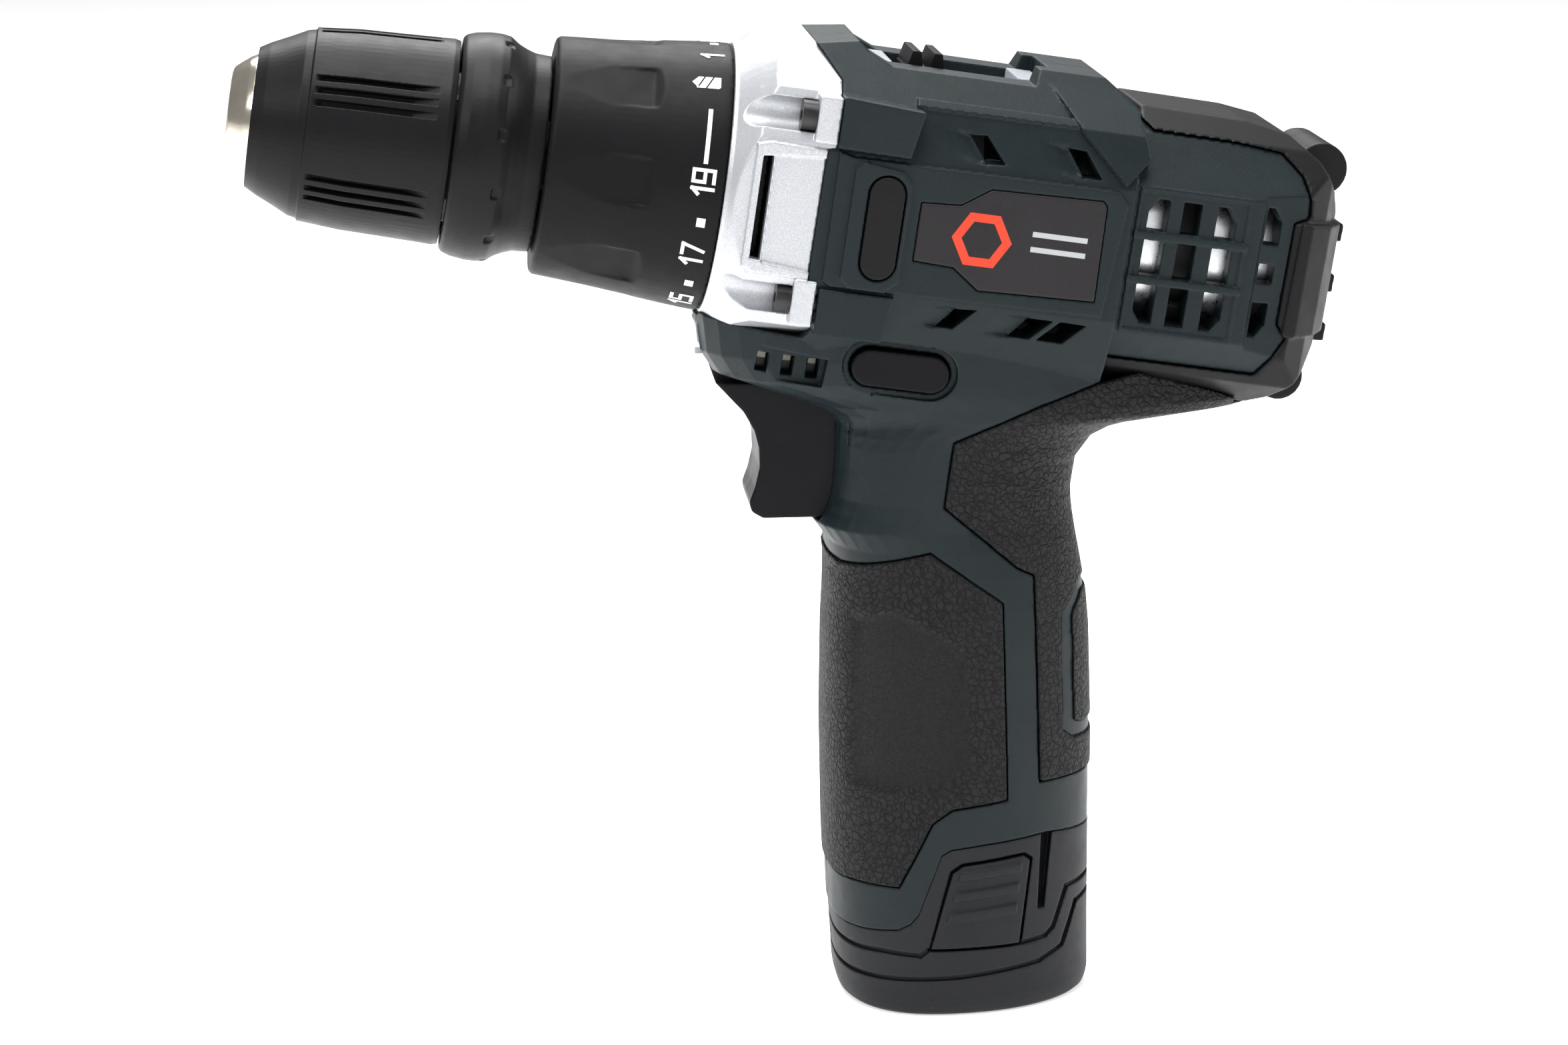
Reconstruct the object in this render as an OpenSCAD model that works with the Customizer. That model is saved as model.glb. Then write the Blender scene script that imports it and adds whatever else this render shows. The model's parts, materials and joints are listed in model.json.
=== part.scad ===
// Cordless drill driver with a keyless chuck, torque collar, two-speed planetary
// gearbox, brushed motor and a slide-in battery that the drill stands on.
// Frame: the origin is the centre of the battery's flat base, +Z is up, the chuck
// points towards -X and the drill's left side faces -Y.

/* [Layout] */
// Nose-up tilt of the barrel over the flat base, degrees
barrel_tilt = 8.32; // [7:0.01:9.5]
// Height of the spindle axis over the centre of the base
spindle_height = 142.3; // [141:0.1:144]
// Distance along the spindle axis from the chuck's nose to the base's centre line
nose_reach = 129.5; // [129:0.1:130.5]

/* [Chuck] */
// Largest shank that the chuck takes, diameter
chuck_capacity = 10; // [9.5:0.1:10.2]
// Angle between the jaws and the spindle axis, degrees
jaw_angle = 16; // [15.5:0.1:16.5]
// Radius of each round jaw
jaw_r = 3.1; // [2.9:0.05:3.15]
// Radius of the chuck sleeve at its rear edge
sleeve_r = 17.85; // [17.5:0.05:18.2]
// Largest radius of the ring behind the sleeve
ring_r = 19.75; // [19:0.05:20.5]

/* [Torque collar] */
// Radius of the torque collar at its front edge
collar_front_r = 20.7; // [20.3:0.05:21]
// Radius of the torque collar at its rear edge
collar_rear_r = 23.35; // [22.9:0.05:23.5]
// Number of turns of the clutch spring
clutch_turns = 5; // [4:1:6]

/* [Gearbox] */
// Gear module, pitch diameter over the number of teeth
gear_module = 0.6; // [0.59:0.005:0.6]
// Pressure angle of the teeth, degrees
pressure_angle = 25; // [24:0.5:26]
// Play between teeth, measured along the pitch circle
backlash = 0.14; // [0.1:0.01:0.18]
// Travel of the speed knob between its two positions
knob_travel = 10.5; // [9:0.1:10.8]

/* [Motor] */
// Outer radius of the motor can
can_r = 18.2; // [17.8:0.05:18.4]
// Radius of the motor shaft
shaft_r = 1.6; // [1.5:0.05:1.65]

/* [Housing] */
// Half width of the front of the housing over its side panels
body_half_w = 26; // [25.6:0.1:26.6]
// Half width of the housing around the motor
motor_half_w = 24; // [23.6:0.1:24.6]
// Half width of the trigger
trigger_half_w = 8.5; // [8:0.1:8.8]
// Travel of the trigger
trigger_travel = 6.5; // [5:0.1:6.8]

/* [Battery] */
// Radius of one battery cell
cell_r = 9.05; // [9:0.01:9.1]
// Length of one battery cell
cell_len = 65; // [64:0.5:66]
// How far the stalk of the battery reaches above the base
stalk_top = 74; // [73:0.5:75]

/* [Hidden] */
$fn = 64;

// Colours
green = [0.12, 0.17, 0.18];
rubber = [0.13, 0.13, 0.13];
black = [0.07, 0.07, 0.07];
silver = [0.78, 0.79, 0.8];
steel = [0.6, 0.6, 0.62];
brass = [0.75, 0.6, 0.3];

// ---------------------------------------------------------------- helpers

// Barrel frame: x runs from the chuck's nose to the rear along the spindle axis,
// y is the drill's y and z stands square to the spindle axis.
module barrel()
    translate([0, 0, spindle_height]) rotate([0, barrel_tilt, 0])
        translate([-nose_reach, 0, 0]) children();

// Cylinder of radius r from s0 to s1 on the spindle axis
module rod(s0, s1, r)
    translate([s0, 0, 0]) rotate([0, 90, 0]) cylinder(h = s1 - s0, r = r);

// Ring on the spindle axis
module ring(s0, s1, outer, inner)
    difference() {
        rod(s0, s1, outer);
        rod(s0 - 1, s1 + 1, inner);
    }

// Body turned on the spindle axis from [radius, s] points
module turned(profile)
    rotate([0, 90, 0]) rotate_extrude($fn = 96) polygon(profile);

// Flat outline in x and z, as thick in y as from y0 to y1
module slab(points, y0, y1)
    translate([0, y1, 0]) rotate([90, 0, 0]) linear_extrude(y1 - y0) polygon(points);

// Outline in y and z, drawn out along x from s0 to s1
module section(points, s0, s1)
    translate([s0, 0, 0]) rotate([90, 0, 90]) linear_extrude(s1 - s0) polygon(points);

// Outline in y and z given for y > 0 from top to bottom, closed over the middle
module mirrored_section(half, s0, s1)
    section(concat(half, [for (i = [len(half) - 1:-1:0]) [-half[i].x, half[i].y]]), s0, s1);

module box(low, high)
    translate(low) cube(high - low);

module both_sides() {
    children();
    mirror([0, 1, 0]) children();
}

// Slot with round ends, centred on the origin in x and z
module stadium(length, height, y0, y1)
    translate([0, y1, 0]) rotate([90, 0, 0]) linear_extrude(y1 - y0)
        union() {
            square([length - height, height], center = true);
            for (side = [-1, 1])
                translate([side * (length - height) / 2, 0]) circle(d = height, $fn = 32);
        }

// Strips of the given width along a line of x and z points
module strips(points, width, y0, y1, closed = false) {
    last = closed ? len(points) - 1 : len(points) - 2;
    for (i = [0:last]) {
        a = points[i];
        b = points[(i + 1) % len(points)];
        span = norm(b - a);
        translate([a.x, y1, a.y]) rotate([90, 0, 0])
            rotate(atan2(b.y - a.y, b.x - a.x)) translate([-width / 2, -width / 2, 0])
                cube([span + width, width, y1 - y0]);
    }
}

// One point of the handle's egg-shaped plan section at angle t
function egg_point(t, front, rear, half_w) =
    let (c = cos(t), s = sin(t), a = (rear - front) / 2)
    [(rear + front) / 2 + a * sign(c) * pow(abs(c), 0.9),
     half_w * sign(s) * pow(abs(s), 0.75) * (1 - 0.15 * c)];

// Solid through egg-shaped plan sections [z, front x, rear x, half width]
module loft(sections, grow = 0, sides = 40) {
    rows = len(sections);
    points = [
        for (p = sections) for (k = [0:sides - 1])
            let (q = egg_point(360 * (k + 0.5) / sides, p[1] - grow, p[2] + grow, p[3] + grow))
            [q.x, q.y, p[0]]
    ];
    walls = [
        for (r = [0:rows - 2]) for (k = [0:sides - 1])
            let (a = r * sides + k, b = r * sides + (k + 1) % sides)
            each [[a, a + sides, b + sides], [a, b + sides, b]]
    ];
    floor_face = [for (k = [0:sides - 1]) k];
    roof_face = [for (k = [sides - 1:-1:0]) (rows - 1) * sides + k];
    polyhedron(points = points, faces = concat(walls, [floor_face, roof_face]));
}

// Round wire of radius wire_r wound on a helix along x
module coil(radius, wire_r, s0, s1, turns, per_turn = 16, sides = 6) {
    steps = turns * per_turn;
    rise = s1 - s0 - 2 * wire_r;
    slope = atan2(rise, 2 * PI * radius * turns);
    points = [
        for (i = [0:steps]) for (k = [0:sides - 1])
            let (turn = 360 * i / per_turn, a = 360 * k / sides,
                 out = radius + wire_r * cos(a), side = wire_r * sin(a))
            [s0 + wire_r + rise * i / steps + side * cos(slope),
             out * cos(turn) + side * sin(slope) * sin(turn),
             out * sin(turn) - side * sin(slope) * cos(turn)]
    ];
    walls = [
        for (i = [0:steps - 1]) for (k = [0:sides - 1])
            let (a = i * sides + k, b = i * sides + (k + 1) % sides)
            each [[a, a + sides, b + sides], [a, b + sides, b]]
    ];
    start_face = [for (k = [0:sides - 1]) k];
    end_face = [for (k = [sides - 1:-1:0]) steps * sides + k];
    polyhedron(points = points, faces = concat(walls, [start_face, end_face]));
}

// ---------------------------------------------------------------- gears

sun_teeth = 12;
planet_teeth = 18;
ring_teeth = sun_teeth + 2 * planet_teeth;
orbit_r = gear_module * (sun_teeth + planet_teeth) / 2;
pin_r = 1.55;
planet_bore_r = 1.6;

function involute(angle) = tan(angle) * 180 / PI - angle;

// Half angle of a tooth at radius r, for a gear of z teeth whose teeth are
// widened by extra at the pitch circle
function tooth_half_angle(z, r, extra) =
    let (pitch_r = gear_module * z / 2, base_r = pitch_r * cos(pressure_angle))
    90 / z + extra * 90 / (PI * pitch_r) + involute(pressure_angle)
        - involute(acos(min(1, base_r / r)));

function gear_outline(z, root_r, tip_r, extra) =
    let (base_r = gear_module * z / 2 * cos(pressure_angle),
         low_r = max(root_r, base_r), radii = [low_r, (low_r + tip_r) / 2, tip_r])
    [for (i = [0:z - 1]) let (middle = 360 * i / z) each concat(
        [root_r * [cos(middle - tooth_half_angle(z, low_r, extra)),
                   sin(middle - tooth_half_angle(z, low_r, extra))] * 0.999],
        [for (r = radii) let (a = middle - tooth_half_angle(z, r, extra)) r * [cos(a), sin(a)]],
        [for (k = [2:-1:0]) let (r = radii[k], a = middle + tooth_half_angle(z, r, extra))
            r * [cos(a), sin(a)]],
        [root_r * [cos(middle + tooth_half_angle(z, low_r, extra)),
                   sin(middle + tooth_half_angle(z, low_r, extra))] * 0.999])];

// Spur gear on the spindle axis with its first tooth turned by phase
module gear(z, s0, s1, phase = 0)
    translate([s0, 0, 0]) rotate([90, 0, 90]) rotate(phase) linear_extrude(s1 - s0)
        polygon(gear_outline(z, gear_module * (z / 2 - 1.25), gear_module * (z / 2 + 0.95),
                             -backlash / 2));

// The hollow inside a ring gear: a gear that is wider than its teeth by the play
module ring_gear_hollow(s0, s1)
    translate([s0, 0, 0]) rotate([90, 0, 90]) rotate(180 / ring_teeth)
        linear_extrude(s1 - s0)
            polygon(gear_outline(ring_teeth, gear_module * (ring_teeth / 2 - 0.95),
                                 gear_module * (ring_teeth / 2 + 1.25), backlash / 2));

// Places one of three planets, i = 0, 1 or 2
module on_orbit(i)
    rotate([120 * i, 0, 0]) translate([0, orbit_r, 0]) children();

module planet(i, s0, s1)
    on_orbit(i) difference() {
        gear(planet_teeth, s0, s1, 180 / planet_teeth);
        rod(s0 - 1, s1 + 1, planet_bore_r);
    }

// ---------------------------------------------------------------- chuck

nose_bore_r = chuck_capacity / 2 + 0.25;
jaw_open_r = nose_bore_r + 0.1;
jaw_closed_r = 0.4;
jaw_slope = tan(jaw_angle);
jaw_advance = (jaw_open_r - jaw_closed_r) / jaw_slope;
jaw_len = 26;
jaw_tip_s = -0.6 + jaw_advance;
nut_s = [18.5, 24.5];
mouth_len = 6;

// Distance of a jaw's own axis from the spindle axis at s
function jaw_axis_r(s) = jaw_closed_r - 0.5 + (s + 0.6) * jaw_slope;

// Line of the nut's cone, just outside the jaws
function nut_cone_r(s) = jaw_axis_r(s) + jaw_r / cos(jaw_angle) + 0.12;

// Cylinder along the path of jaw i
module jaw_path(i, r, s0, s1)
    rotate([120 * i + 30, 0, 0]) translate([s0, 0, jaw_axis_r(s0)])
        rotate([0, 90 - jaw_angle, 0]) cylinder(h = (s1 - s0) / cos(jaw_angle), r = r);

module jaw(i)
    color(steel) barrel() intersection() {
        jaw_path(i, jaw_r, jaw_tip_s - 4, jaw_tip_s + jaw_len + 4);
        rotate([120 * i + 30, 0, 0])
            section([[0, jaw_open_r], [-17.32, jaw_open_r + 10], [17.32, jaw_open_r + 10]],
                    jaw_tip_s, jaw_tip_s + jaw_len);
    }

module chuck_body()
    color(silver) barrel() difference() {
        turned([[0, 0], [7.4, 0], [8.2, 0.3], [9.1, 1.4], [10.3, 3], [10.9, 4.2],
                [10.9, 16.6], [nut_cone_r(16.6) - 0.42, 16.6],
                [nut_cone_r(24.7) - 0.42, 24.7], [12.2, 24.7], [12.2, 43.5], [14, 43.6],
                [14, 52.4], [0, 52.4]]);
        rod(-1, mouth_len, nose_bore_r);
        rod(mouth_len - 0.1, 33, nose_bore_r + 0.35);
        rod(32, 53, 2.6);
        rod(38.2, 53, 4.75);
        for (i = [0:2]) jaw_path(i, jaw_r + 0.05, -3, 48);
    }

module chuck_nut()
    color(steel) barrel() difference() {
        rod(nut_s[0], nut_s[1], 14);
        turned([[0, nut_s[0] - 1], [nut_cone_r(nut_s[0] - 1), nut_s[0] - 1],
                [nut_cone_r(nut_s[1] + 1), nut_s[1] + 1], [0, nut_s[1] + 1]]);
    }

module chuck_sleeve()
    color(black) barrel() difference() {
        turned([[11.05, 4.1], [12, 4.1], [13.1, 6], [14.5, 9], [16, 12], [16.3, 13.4],
                [16.7, 13.6], [16.95, 16.5], [17.35, 21], [17.55, 28], [sleeve_r, 37],
                [sleeve_r - 0.25, 38], [15.7, 38], [15.7, nut_s[1] + 0.1],
                [14, nut_s[1] + 0.1], [14, nut_s[0] - 0.1], [11.05, nut_s[0] - 0.1]]);
        for (group = [0:5]) for (k = [-1:1])
            rotate([60 * group + 1 + 7.6 * k, 0, 0])
                slab([[13.6, 17.3], [15.6, 15.7], [31, 16.3], [35.5, 17.9], [30, 19], [13.6, 19]],
                     -0.6, 0.6);
    }

module chuck_rear_ring()
    color(black) barrel() difference() {
        turned([[15.9, 38.4], [18.3, 38.4], [18.9, 39], [19.4, 40.5], [ring_r, 43],
                [ring_r, 45], [19.5, 46.5], [18.4, 48], [17.7, 49.5], [17.2, 51],
                [17, 53.9], [14, 53.9], [14, 43.6], [15.9, 43.6]]);
        for (k = [0:11]) rotate([30 * k + 15, 0, 0]) box([45.6, -1, 19], [48, 1, 21]);
    }

module chuck_screw()
    color(black) barrel() difference() {
        union() {
            rod(30.1, 33, 4.3);
            rod(33, 60, 2.45);
        }
        translate([29, 0, 0]) rotate([0, 90, 0]) cylinder(h = 3, r = 1.8, $fn = 6);
    }

module output_spindle()
    color(steel) barrel() difference() {
        union() {
            rod(38.5, 52.6, 4.7);
            rod(52.6, 102.5, 5.9);
            rod(102.5, 105.1, 4);
        }
        rod(38, 53, 2.5);
        rod(52.9, 96, 3.6);
    }

// ---------------------------------------------------------------- collar and clutch

module torque_collar()
    color(black) barrel() difference() {
        turned([[13, 54.3], [collar_front_r - 0.5, 54.3], [collar_front_r, 54.9],
                [21.1, 60], [22.3, 72], [22.95, 78], [collar_rear_r, 83],
                [collar_rear_r, 84.2], [18.6, 84.2], [18.6, 56.8], [13, 56.8]]);
        for (k = [0:7]) rotate([45 * k + 43, 0, 0])
            slab([[55.5, 20.75], [71, 21.3], [74.5, 23.5], [55.5, 23.5]], -4.2, 4.2);
    }

pin_count = 6;
nut_rest_s = 62;

module spring_nut()
    color(steel) barrel() ring(nut_rest_s, nut_rest_s + 4, 18.2, 12.58);

module clutch_spring()
    color(steel) barrel() coil(15.2, 1, nut_rest_s + 4.1, 82.6, clutch_turns);

module clutch_washer()
    color(steel) barrel() ring(82.7, 84, 17.6, 12.7);

module at_pins()
    for (k = [0:pin_count - 1]) rotate([60 * k + 30, 0, 0]) translate([0, 0, 14.6]) children();

module clutch_pins()
    color(steel) barrel() at_pins() rod(84, 105.2, 1.5);

module clutch_ring_gear()
    color(steel) barrel() difference() {
        union() {
            rod(105.3, 113.6, 17);
            for (k = [0:pin_count - 1]) rotate([60 * k, 0, 0])
                translate([0, 0, 14.6]) rod(104.4, 106, 1.4);
        }
        ring_gear_hollow(104, 114);
    }

module spindle_bearings()
    color(brass) barrel() {
        ring(60, 66, 9.4, 5.95);
        ring(94, 100, 9.4, 5.95);
    }

// ---------------------------------------------------------------- gear case

ear_screw = [22.6, 15.7];

module at_ears()
    for (side = [-1, 1]) for (up = [-1, 1])
        translate([0, side * ear_screw[0], up * ear_screw[1]]) children();

// Line between the silver case and the housing behind it, top to bottom
case_edge = [[97.2, 27.1], [101.9, 21.9], [101.9, 11], [100.4, 10.6], [100.2, -11.8],
             [102.3, -12.8], [102.3, -21], [101, -22.7]];

module gear_case()
    color(silver) barrel() difference() {
        union() {
            intersection() {
                slab(concat([[84.4, -22.8], [84.4, 24], [88, 26.1]], case_edge), -30, 30);
                mirrored_section([[12, 27.4], [20.8, 19.9], [24.6, 11.5], [24.6, -12],
                                  [21, -20.6], [15, -22.8]], 84, 103);
                turned([[0, 84], [23.5, 84], [23.7, 85], [26.6, 88.4], [30, 92.5],
                        [30, 104], [0, 104]]);
            }
            // Ears that the screws sit in
            at_ears() box([98, -3.1, -3.9], [101.8, 3.1, 3.9]);
            // Frame around the side pocket
            both_sides() difference() {
                slab([[88.6, 10.3], [91, 10.9], [100.4, 10.6], [100.2, -11.8],
                      [91, -11.6], [88.6, -10.8]], 23, 25.4);
                slab([[91.8, 8.6], [100.4, 9.2], [100.2, -10.4], [91.8, -9.6]], 22, 26);
            }
            rod(58, 86, 12.5);
            rod(84.4, 128.5, 19.2);
        }
        rod(57, 110, 9.4);
        rod(102.4, 104.5, 12.6);
        rod(104.2, 130, 17.1);
        at_pins() rod(83, 105, 1.56);
        // Slots in the side pockets and long screw channels
        both_sides() slab([[89.8, 8.4], [91.6, 8.6], [91.6, -9.4], [89.8, -9.2]], 17.3, 27);
        at_ears() rod(83, 98, 2.9);
        at_ears() rod(97, 103, 1.6);
        // Side slots for the ends of the shift fork
        both_sides() box([118, 11, -11.6], [127.6, 20, -7.9]);
    }

module gear_case_screws()
    color(black) barrel() at_ears() difference() {
        union() {
            rod(95.4, 98, 2.6);
            rod(98, 109, 1.5);
        }
        translate([94.5, 0, 0]) rotate([0, 90, 0]) cylinder(h = 2.2, r = 1.1, $fn = 6);
    }

// ---------------------------------------------------------------- gear train

module carrier_pins(s0, s1)
    for (i = [0:2]) on_orbit(i) rod(s0, s1, pin_r);

module carrier_2()
    color(steel) barrel() {
        difference() {
            rod(102.6, 105.1, 12.2);
            rod(102, 106, 4);
        }
        carrier_pins(105, 112.9);
    }

module carrier_1()
    color(steel) barrel() {
        rod(116.1, 118.6, 12.2);
        gear(sun_teeth, 105.6, 116.2);
        carrier_pins(118.5, 124.5);
    }

module planet_1(i) color(steel) barrel() planet(i, 119, 124.2);
module planet_2(i) color(steel) barrel() planet(i, 105.6, 112.6);

groove_s = 125.3;

module shift_ring_gear()
    color(steel) barrel() difference() {
        rod(119.7, 127.8, 17);
        ring_gear_hollow(119, 129);
        ring(groove_s - 1, groove_s + 1, 20, 16);
    }

fork_pivot_s = 122.75;
fork_r = 20.8;
fork_half = 0.5;
fork_tilt = asin(knob_travel / 2 / fork_r);
fork_leg = 10;

module shift_fork()
    color(steel) barrel() translate([fork_pivot_s, 0, 0]) rotate([0, -fork_tilt, 0]) {
        intersection() {
            ring(-fork_half, fork_half, fork_r + fork_half, fork_r - fork_half);
            box([-2, -30, 0], [2, 30, 30]);
        }
        both_sides() {
            box([-fork_half, fork_r - fork_half, -fork_leg - fork_half],
                [fork_half, fork_r + fork_half, 0.5]);
            box([-fork_half, 13.2, -fork_leg - fork_half],
                [fork_half, fork_r, -fork_leg + fork_half]);
            translate([0, fork_r, 0]) rotate([-90, 0, 0]) cylinder(h = 1.9, r = 0.65);
        }
    }

// ---------------------------------------------------------------- motor

flux_ring_wall = 2.3;

module motor_can()
    color(silver) barrel() difference() {
        union() {
            rod(131, 182, can_r);
            rod(129, 131, 6.4);
            // Steel ring around the can that closes the field
            rod(136, 175, can_r + flux_ring_wall);
        }
        rod(132.5, 183, can_r - 1.3);
        rod(128, 134, 2.5);
        both_sides() box([161.4, 10, -9], [166.8, 30, 9]);
    }

module motor_plate()
    color(steel) barrel() ring(128.6, 130.9, 19.2, 6.5);

module motor_magnets()
    color(black) barrel() difference() {
        ring(138, 170, can_r - 1.35, 13.4);
        box([130, -4, -20], [180, 4, 20]);
    }

module armature()
    color(steel) barrel() difference() {
        rod(140, 168, 12.6);
        rod(139, 169, shaft_r);
        for (k = [0:4]) rotate([72 * k, 0, 0]) {
            box([139, -0.9, 9], [169, 0.9, 13]);
            translate([0, 0, 8.2]) rod(139, 169, 2.4);
        }
    }

module commutator()
    color(brass) barrel() difference() {
        ring(169, 177.5, 5, shaft_r);
        for (k = [0:4]) rotate([72 * k, 0, 0]) box([168, -0.25, 4.2], [178, 0.25, 6]);
    }

module motor_brushes()
    color(black) barrel() both_sides() box([171.5, 5.15, -2.5], [176.5, 12, 2.5]);

module motor_end_cap()
    color(black) barrel() difference() {
        union() {
            rod(178.6, 182, can_r - 1.35);
            rod(182, 185, 16);
        }
        rod(178, 187, 2.1);
        for (k = [0:5]) rotate([60 * k, 0, 0]) translate([0, 0, 11]) rod(178, 187, 3);
    }

module motor_shaft()
    color(steel) barrel() rod(118.9, 185.5, shaft_r);

module cooling_fan()
    color(green) barrel() difference() {
        union() {
            ring(133.2, 134.4, 12.4, shaft_r);
            ring(133.2, 138.6, 4, shaft_r);
            for (k = [0:8]) rotate([40 * k, 0, 0]) box([133.4, -0.5, 3.5], [138, 0.5, 12.2]);
        }
        rod(133, 139, shaft_r);
    }

module motor_pinion()
    color(brass) barrel() difference() {
        gear(sun_teeth, 119.2, 127);
        rod(119, 128, shaft_r);
    }

// ---------------------------------------------------------------- housing

// Plan sections of the handle, neck and lamp nose, in the drill's own frame
handle_rows = [
    [12, -24.1, 23.2, 21.9], [30, -24.9, 23, 22], [50, -25.3, 22.8, 21.9],
    [68, -25.1, 22.1, 21.4], [74, -24.8, 21.5, 21.1], [80, -24.7, 20.4, 20.8],
    [85, -25.3, 19.4, 20.5], [88.6, -28, 18.8, 20.3], [91, -26.6, 18.5, 20.2],
    [93.7, -25.6, 18.4, 20.1], [99, -25.1, 19.2, 20], [103.2, -25.1, 22.4, 20],
    [105.4, -25.2, 27, 20.1], [106.7, -25.2, 33, 20.3], [107.6, -26, 41, 20.5],
    [108.7, -27.4, 50, 20.8], [110.6, -31, 55.5, 21], [113, -38.4, 56, 21.3],
    [115.4, -45.4, 56.3, 21.5], [119.4, -47.9, 56.5, 21.6], [126, -48.6, 56, 21.6],
    [133, -48, 55, 21.6]
];

grip_depth = 1.4;
grip_proud = 0.4;

front_grip_line = [[-30, 83.4], [-23.3, 82.4], [-19.2, 83.2], [-8.6, 85.6], [4.5, 75.9],
                   [5.7, 39.8], [-4.3, 38.7], [-7.8, 36.3], [-13.6, 24.2], [-20.2, 24.3],
                   [-30, 23]];
palm_grip_line = [[10.1, 111.4], [-4.8, 105], [-6.4, 93.4], [6.9, 81.7], [10, 80],
                  [11.4, 42.3], [30, 41.6], [30, 85], [62, 98], [62, 117.5],
                  [47.1, 116.4], [31.9, 117.8], [20.5, 115.2]];
strap_line = [[30, 77.4], [19.5, 77.2], [15.4, 72.3], [16, 51.1], [18.2, 49.2], [30, 48]];
patch_line = [[30, 75.2], [20, 75.2], [17.8, 71.8], [18.4, 52.2], [20, 51.4], [30, 50.8]];
seam_line = [[-30, 14.9], [-19.7, 15.7], [-13.8, 16.4], [-11.7, 17.6], [-10.2, 19.5],
             [-6.3, 30.5], [-4.5, 31.5], [1.3, 32.1], [12.9, 32.9], [30, 30.6]];

// Outlines in the barrel frame
front_block = [[97.3, 27], [104.7, 28.2], [106.5, 26.7], [110.5, 24.9], [135.4, 24.8],
               [136.1, 27.6], [147.7, 27.6], [153.8, 23.4], [153.8, -24],
               [104, -24], [101.1, -22.7], [102.4, -21], [102.4, -12.8], [100.3, -11.8],
               [100.5, 10.6], [102, 11], [102, 21.9]];
motor_block = [[150, 23.3], [172.9, 22.9], [180.3, 21.8], [185.6, 18.4], [189.4, 13.6],
               [191.5, 9], [191.5, -12.5], [189, -17.5], [184.3, -23.2], [181, -25],
               [150, -25]];
bumper_line = [[154.4, 21.8], [156.6, 20.2], [171.2, 20], [179.1, 19.3], [182.8, 16.1],
               [184.5, 12.2], [184.8, 9.5], [182.2, 8.3], [182.1, -9.5], [184.1, -11.6],
               [180.3, -18.9], [153, -18.9], [153, -40], [200, -40], [200, 30], [154.4, 30]];
raised_band = [[136.1, 27.6], [143.4, 19.3], [151.8, 11.3], [155.6, 15.9], [153.2, 23.5],
               [147.7, 27.6]];
badge_line = [[117.3, 4.1], [124.2, 4.5], [129, 7.8], [148.3, 8.3], [149.1, 7.4],
              [149.5, -9.2], [129.1, -9.8], [124.4, -6.4], [117.3, -6.1]];
side_panel = [[102.4, 10.8], [105, 10.1], [150.6, 10.1], [152.6, 8], [151, -11.6],
              [104, -12.2], [102.6, -11.4]];
vents = [[[124.4, 16.1], [127.3, 16.3], [130.9, 11.9], [127.6, 11.7]],
         [[141.4, 16], [144.5, 15.9], [147.7, 11.5], [144.4, 11.5]],
         [[126.1, -13.5], [129.8, -13.3], [126.4, -17.2], [123.3, -17.2]],
         [[138.8, -13.5], [143.2, -13.5], [139.8, -17.3], [136, -17.3]],
         [[144.4, -13.5], [149, -13.6], [145.6, -17.4], [141, -17.3]]];
grid_columns = [[156.6, 160.1], [162.5, 165.7], [168.5, 172]];

// Half of the motor block's plan: distance along the barrel and half width
rear_plan = [[148, motor_half_w], [176.5, motor_half_w], [177, motor_half_w - 0.6],
             [184, motor_half_w - 1.4], [188, 19], [191, 13], [192.6, 7]];

module motor_envelope(grow = 0)
    intersection() {
        slab([for (p = motor_block) [p.x + (p.x > 170 ? grow : 0), p.y * (1 + grow / 23)]],
             -40, 40);
        mirrored_section([[10 + grow, 23.6 + grow], [17.5 + grow, 19.8 + grow],
                          [motor_half_w + grow, 11.5], [motor_half_w + grow, -13.6],
                          [19 + grow, -20.4 - grow], [12, -25 - grow]], 148, 200);
        translate([0, 0, -50]) linear_extrude(100) polygon(concat(
            [for (p = rear_plan) [p.x + (p.x > 180 ? grow : 0), p.y + grow]],
            [for (i = [len(rear_plan) - 1:-1:0])
                let (p = rear_plan[i]) [p.x + (p.x > 180 ? grow : 0), -p.y - grow]]));
    }

// Outside of the whole housing without its openings
module housing_outside() {
    loft(handle_rows);
    barrel() {
        intersection() {
            slab(front_block, -30, 30);
            mirrored_section([[12, 28.4], [21.5, 19.3], [25.1, 10.6], [25.1, -12.4],
                              [22.2, -20.6], [19.5, -25]], 97, 155);
        }
        motor_envelope();
        both_sides() {
            slab(side_panel, 20, body_half_w);
            // Blocks behind the ears of the gear case
            slab([[102, 20], [115.9, 19.1], [114.4, 11.2], [102, 11.4]], 17, 26.6);
            slab([[102.4, -12.8], [115.2, -12.8], [114, -20.8], [102.4, -20.8]], 17, 26.2);
            // Frame of the side pad
            slab([[106.8, 9.6], [113.6, 8.7], [115.3, 7], [115.3, -10], [113.2, -12],
                  [106.8, -12], [105.4, -10.4], [105.4, 8]], 24, body_half_w + 0.9);
            // Ridge along the upper edge
            section([[20.4, 18], [21.9, 19.6], [20.6, 20.9], [17, 20]], 114.8, 143);
        }
        // Raised band over the top
        intersection() {
            slab(raised_band, -40, 40);
            mirrored_section([[12.5, 27.6], [22.6, 19.6], [26.1, 10.6], [25, 8]], 130, 160);
        }
        both_sides() {
            // Louvre frame of the motor vents and its two bars
            for (h = [3.2, -4.5]) box([154.5, 20, h - 0.6], [174.5, motor_half_w + 0.9, h + 0.6]);
            strips([[155, 11.2], [174, 11.2], [174, -13.4], [155, -13.4]], 0.8,
                   20, motor_half_w + 0.3, true);
        }
    }
}

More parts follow.
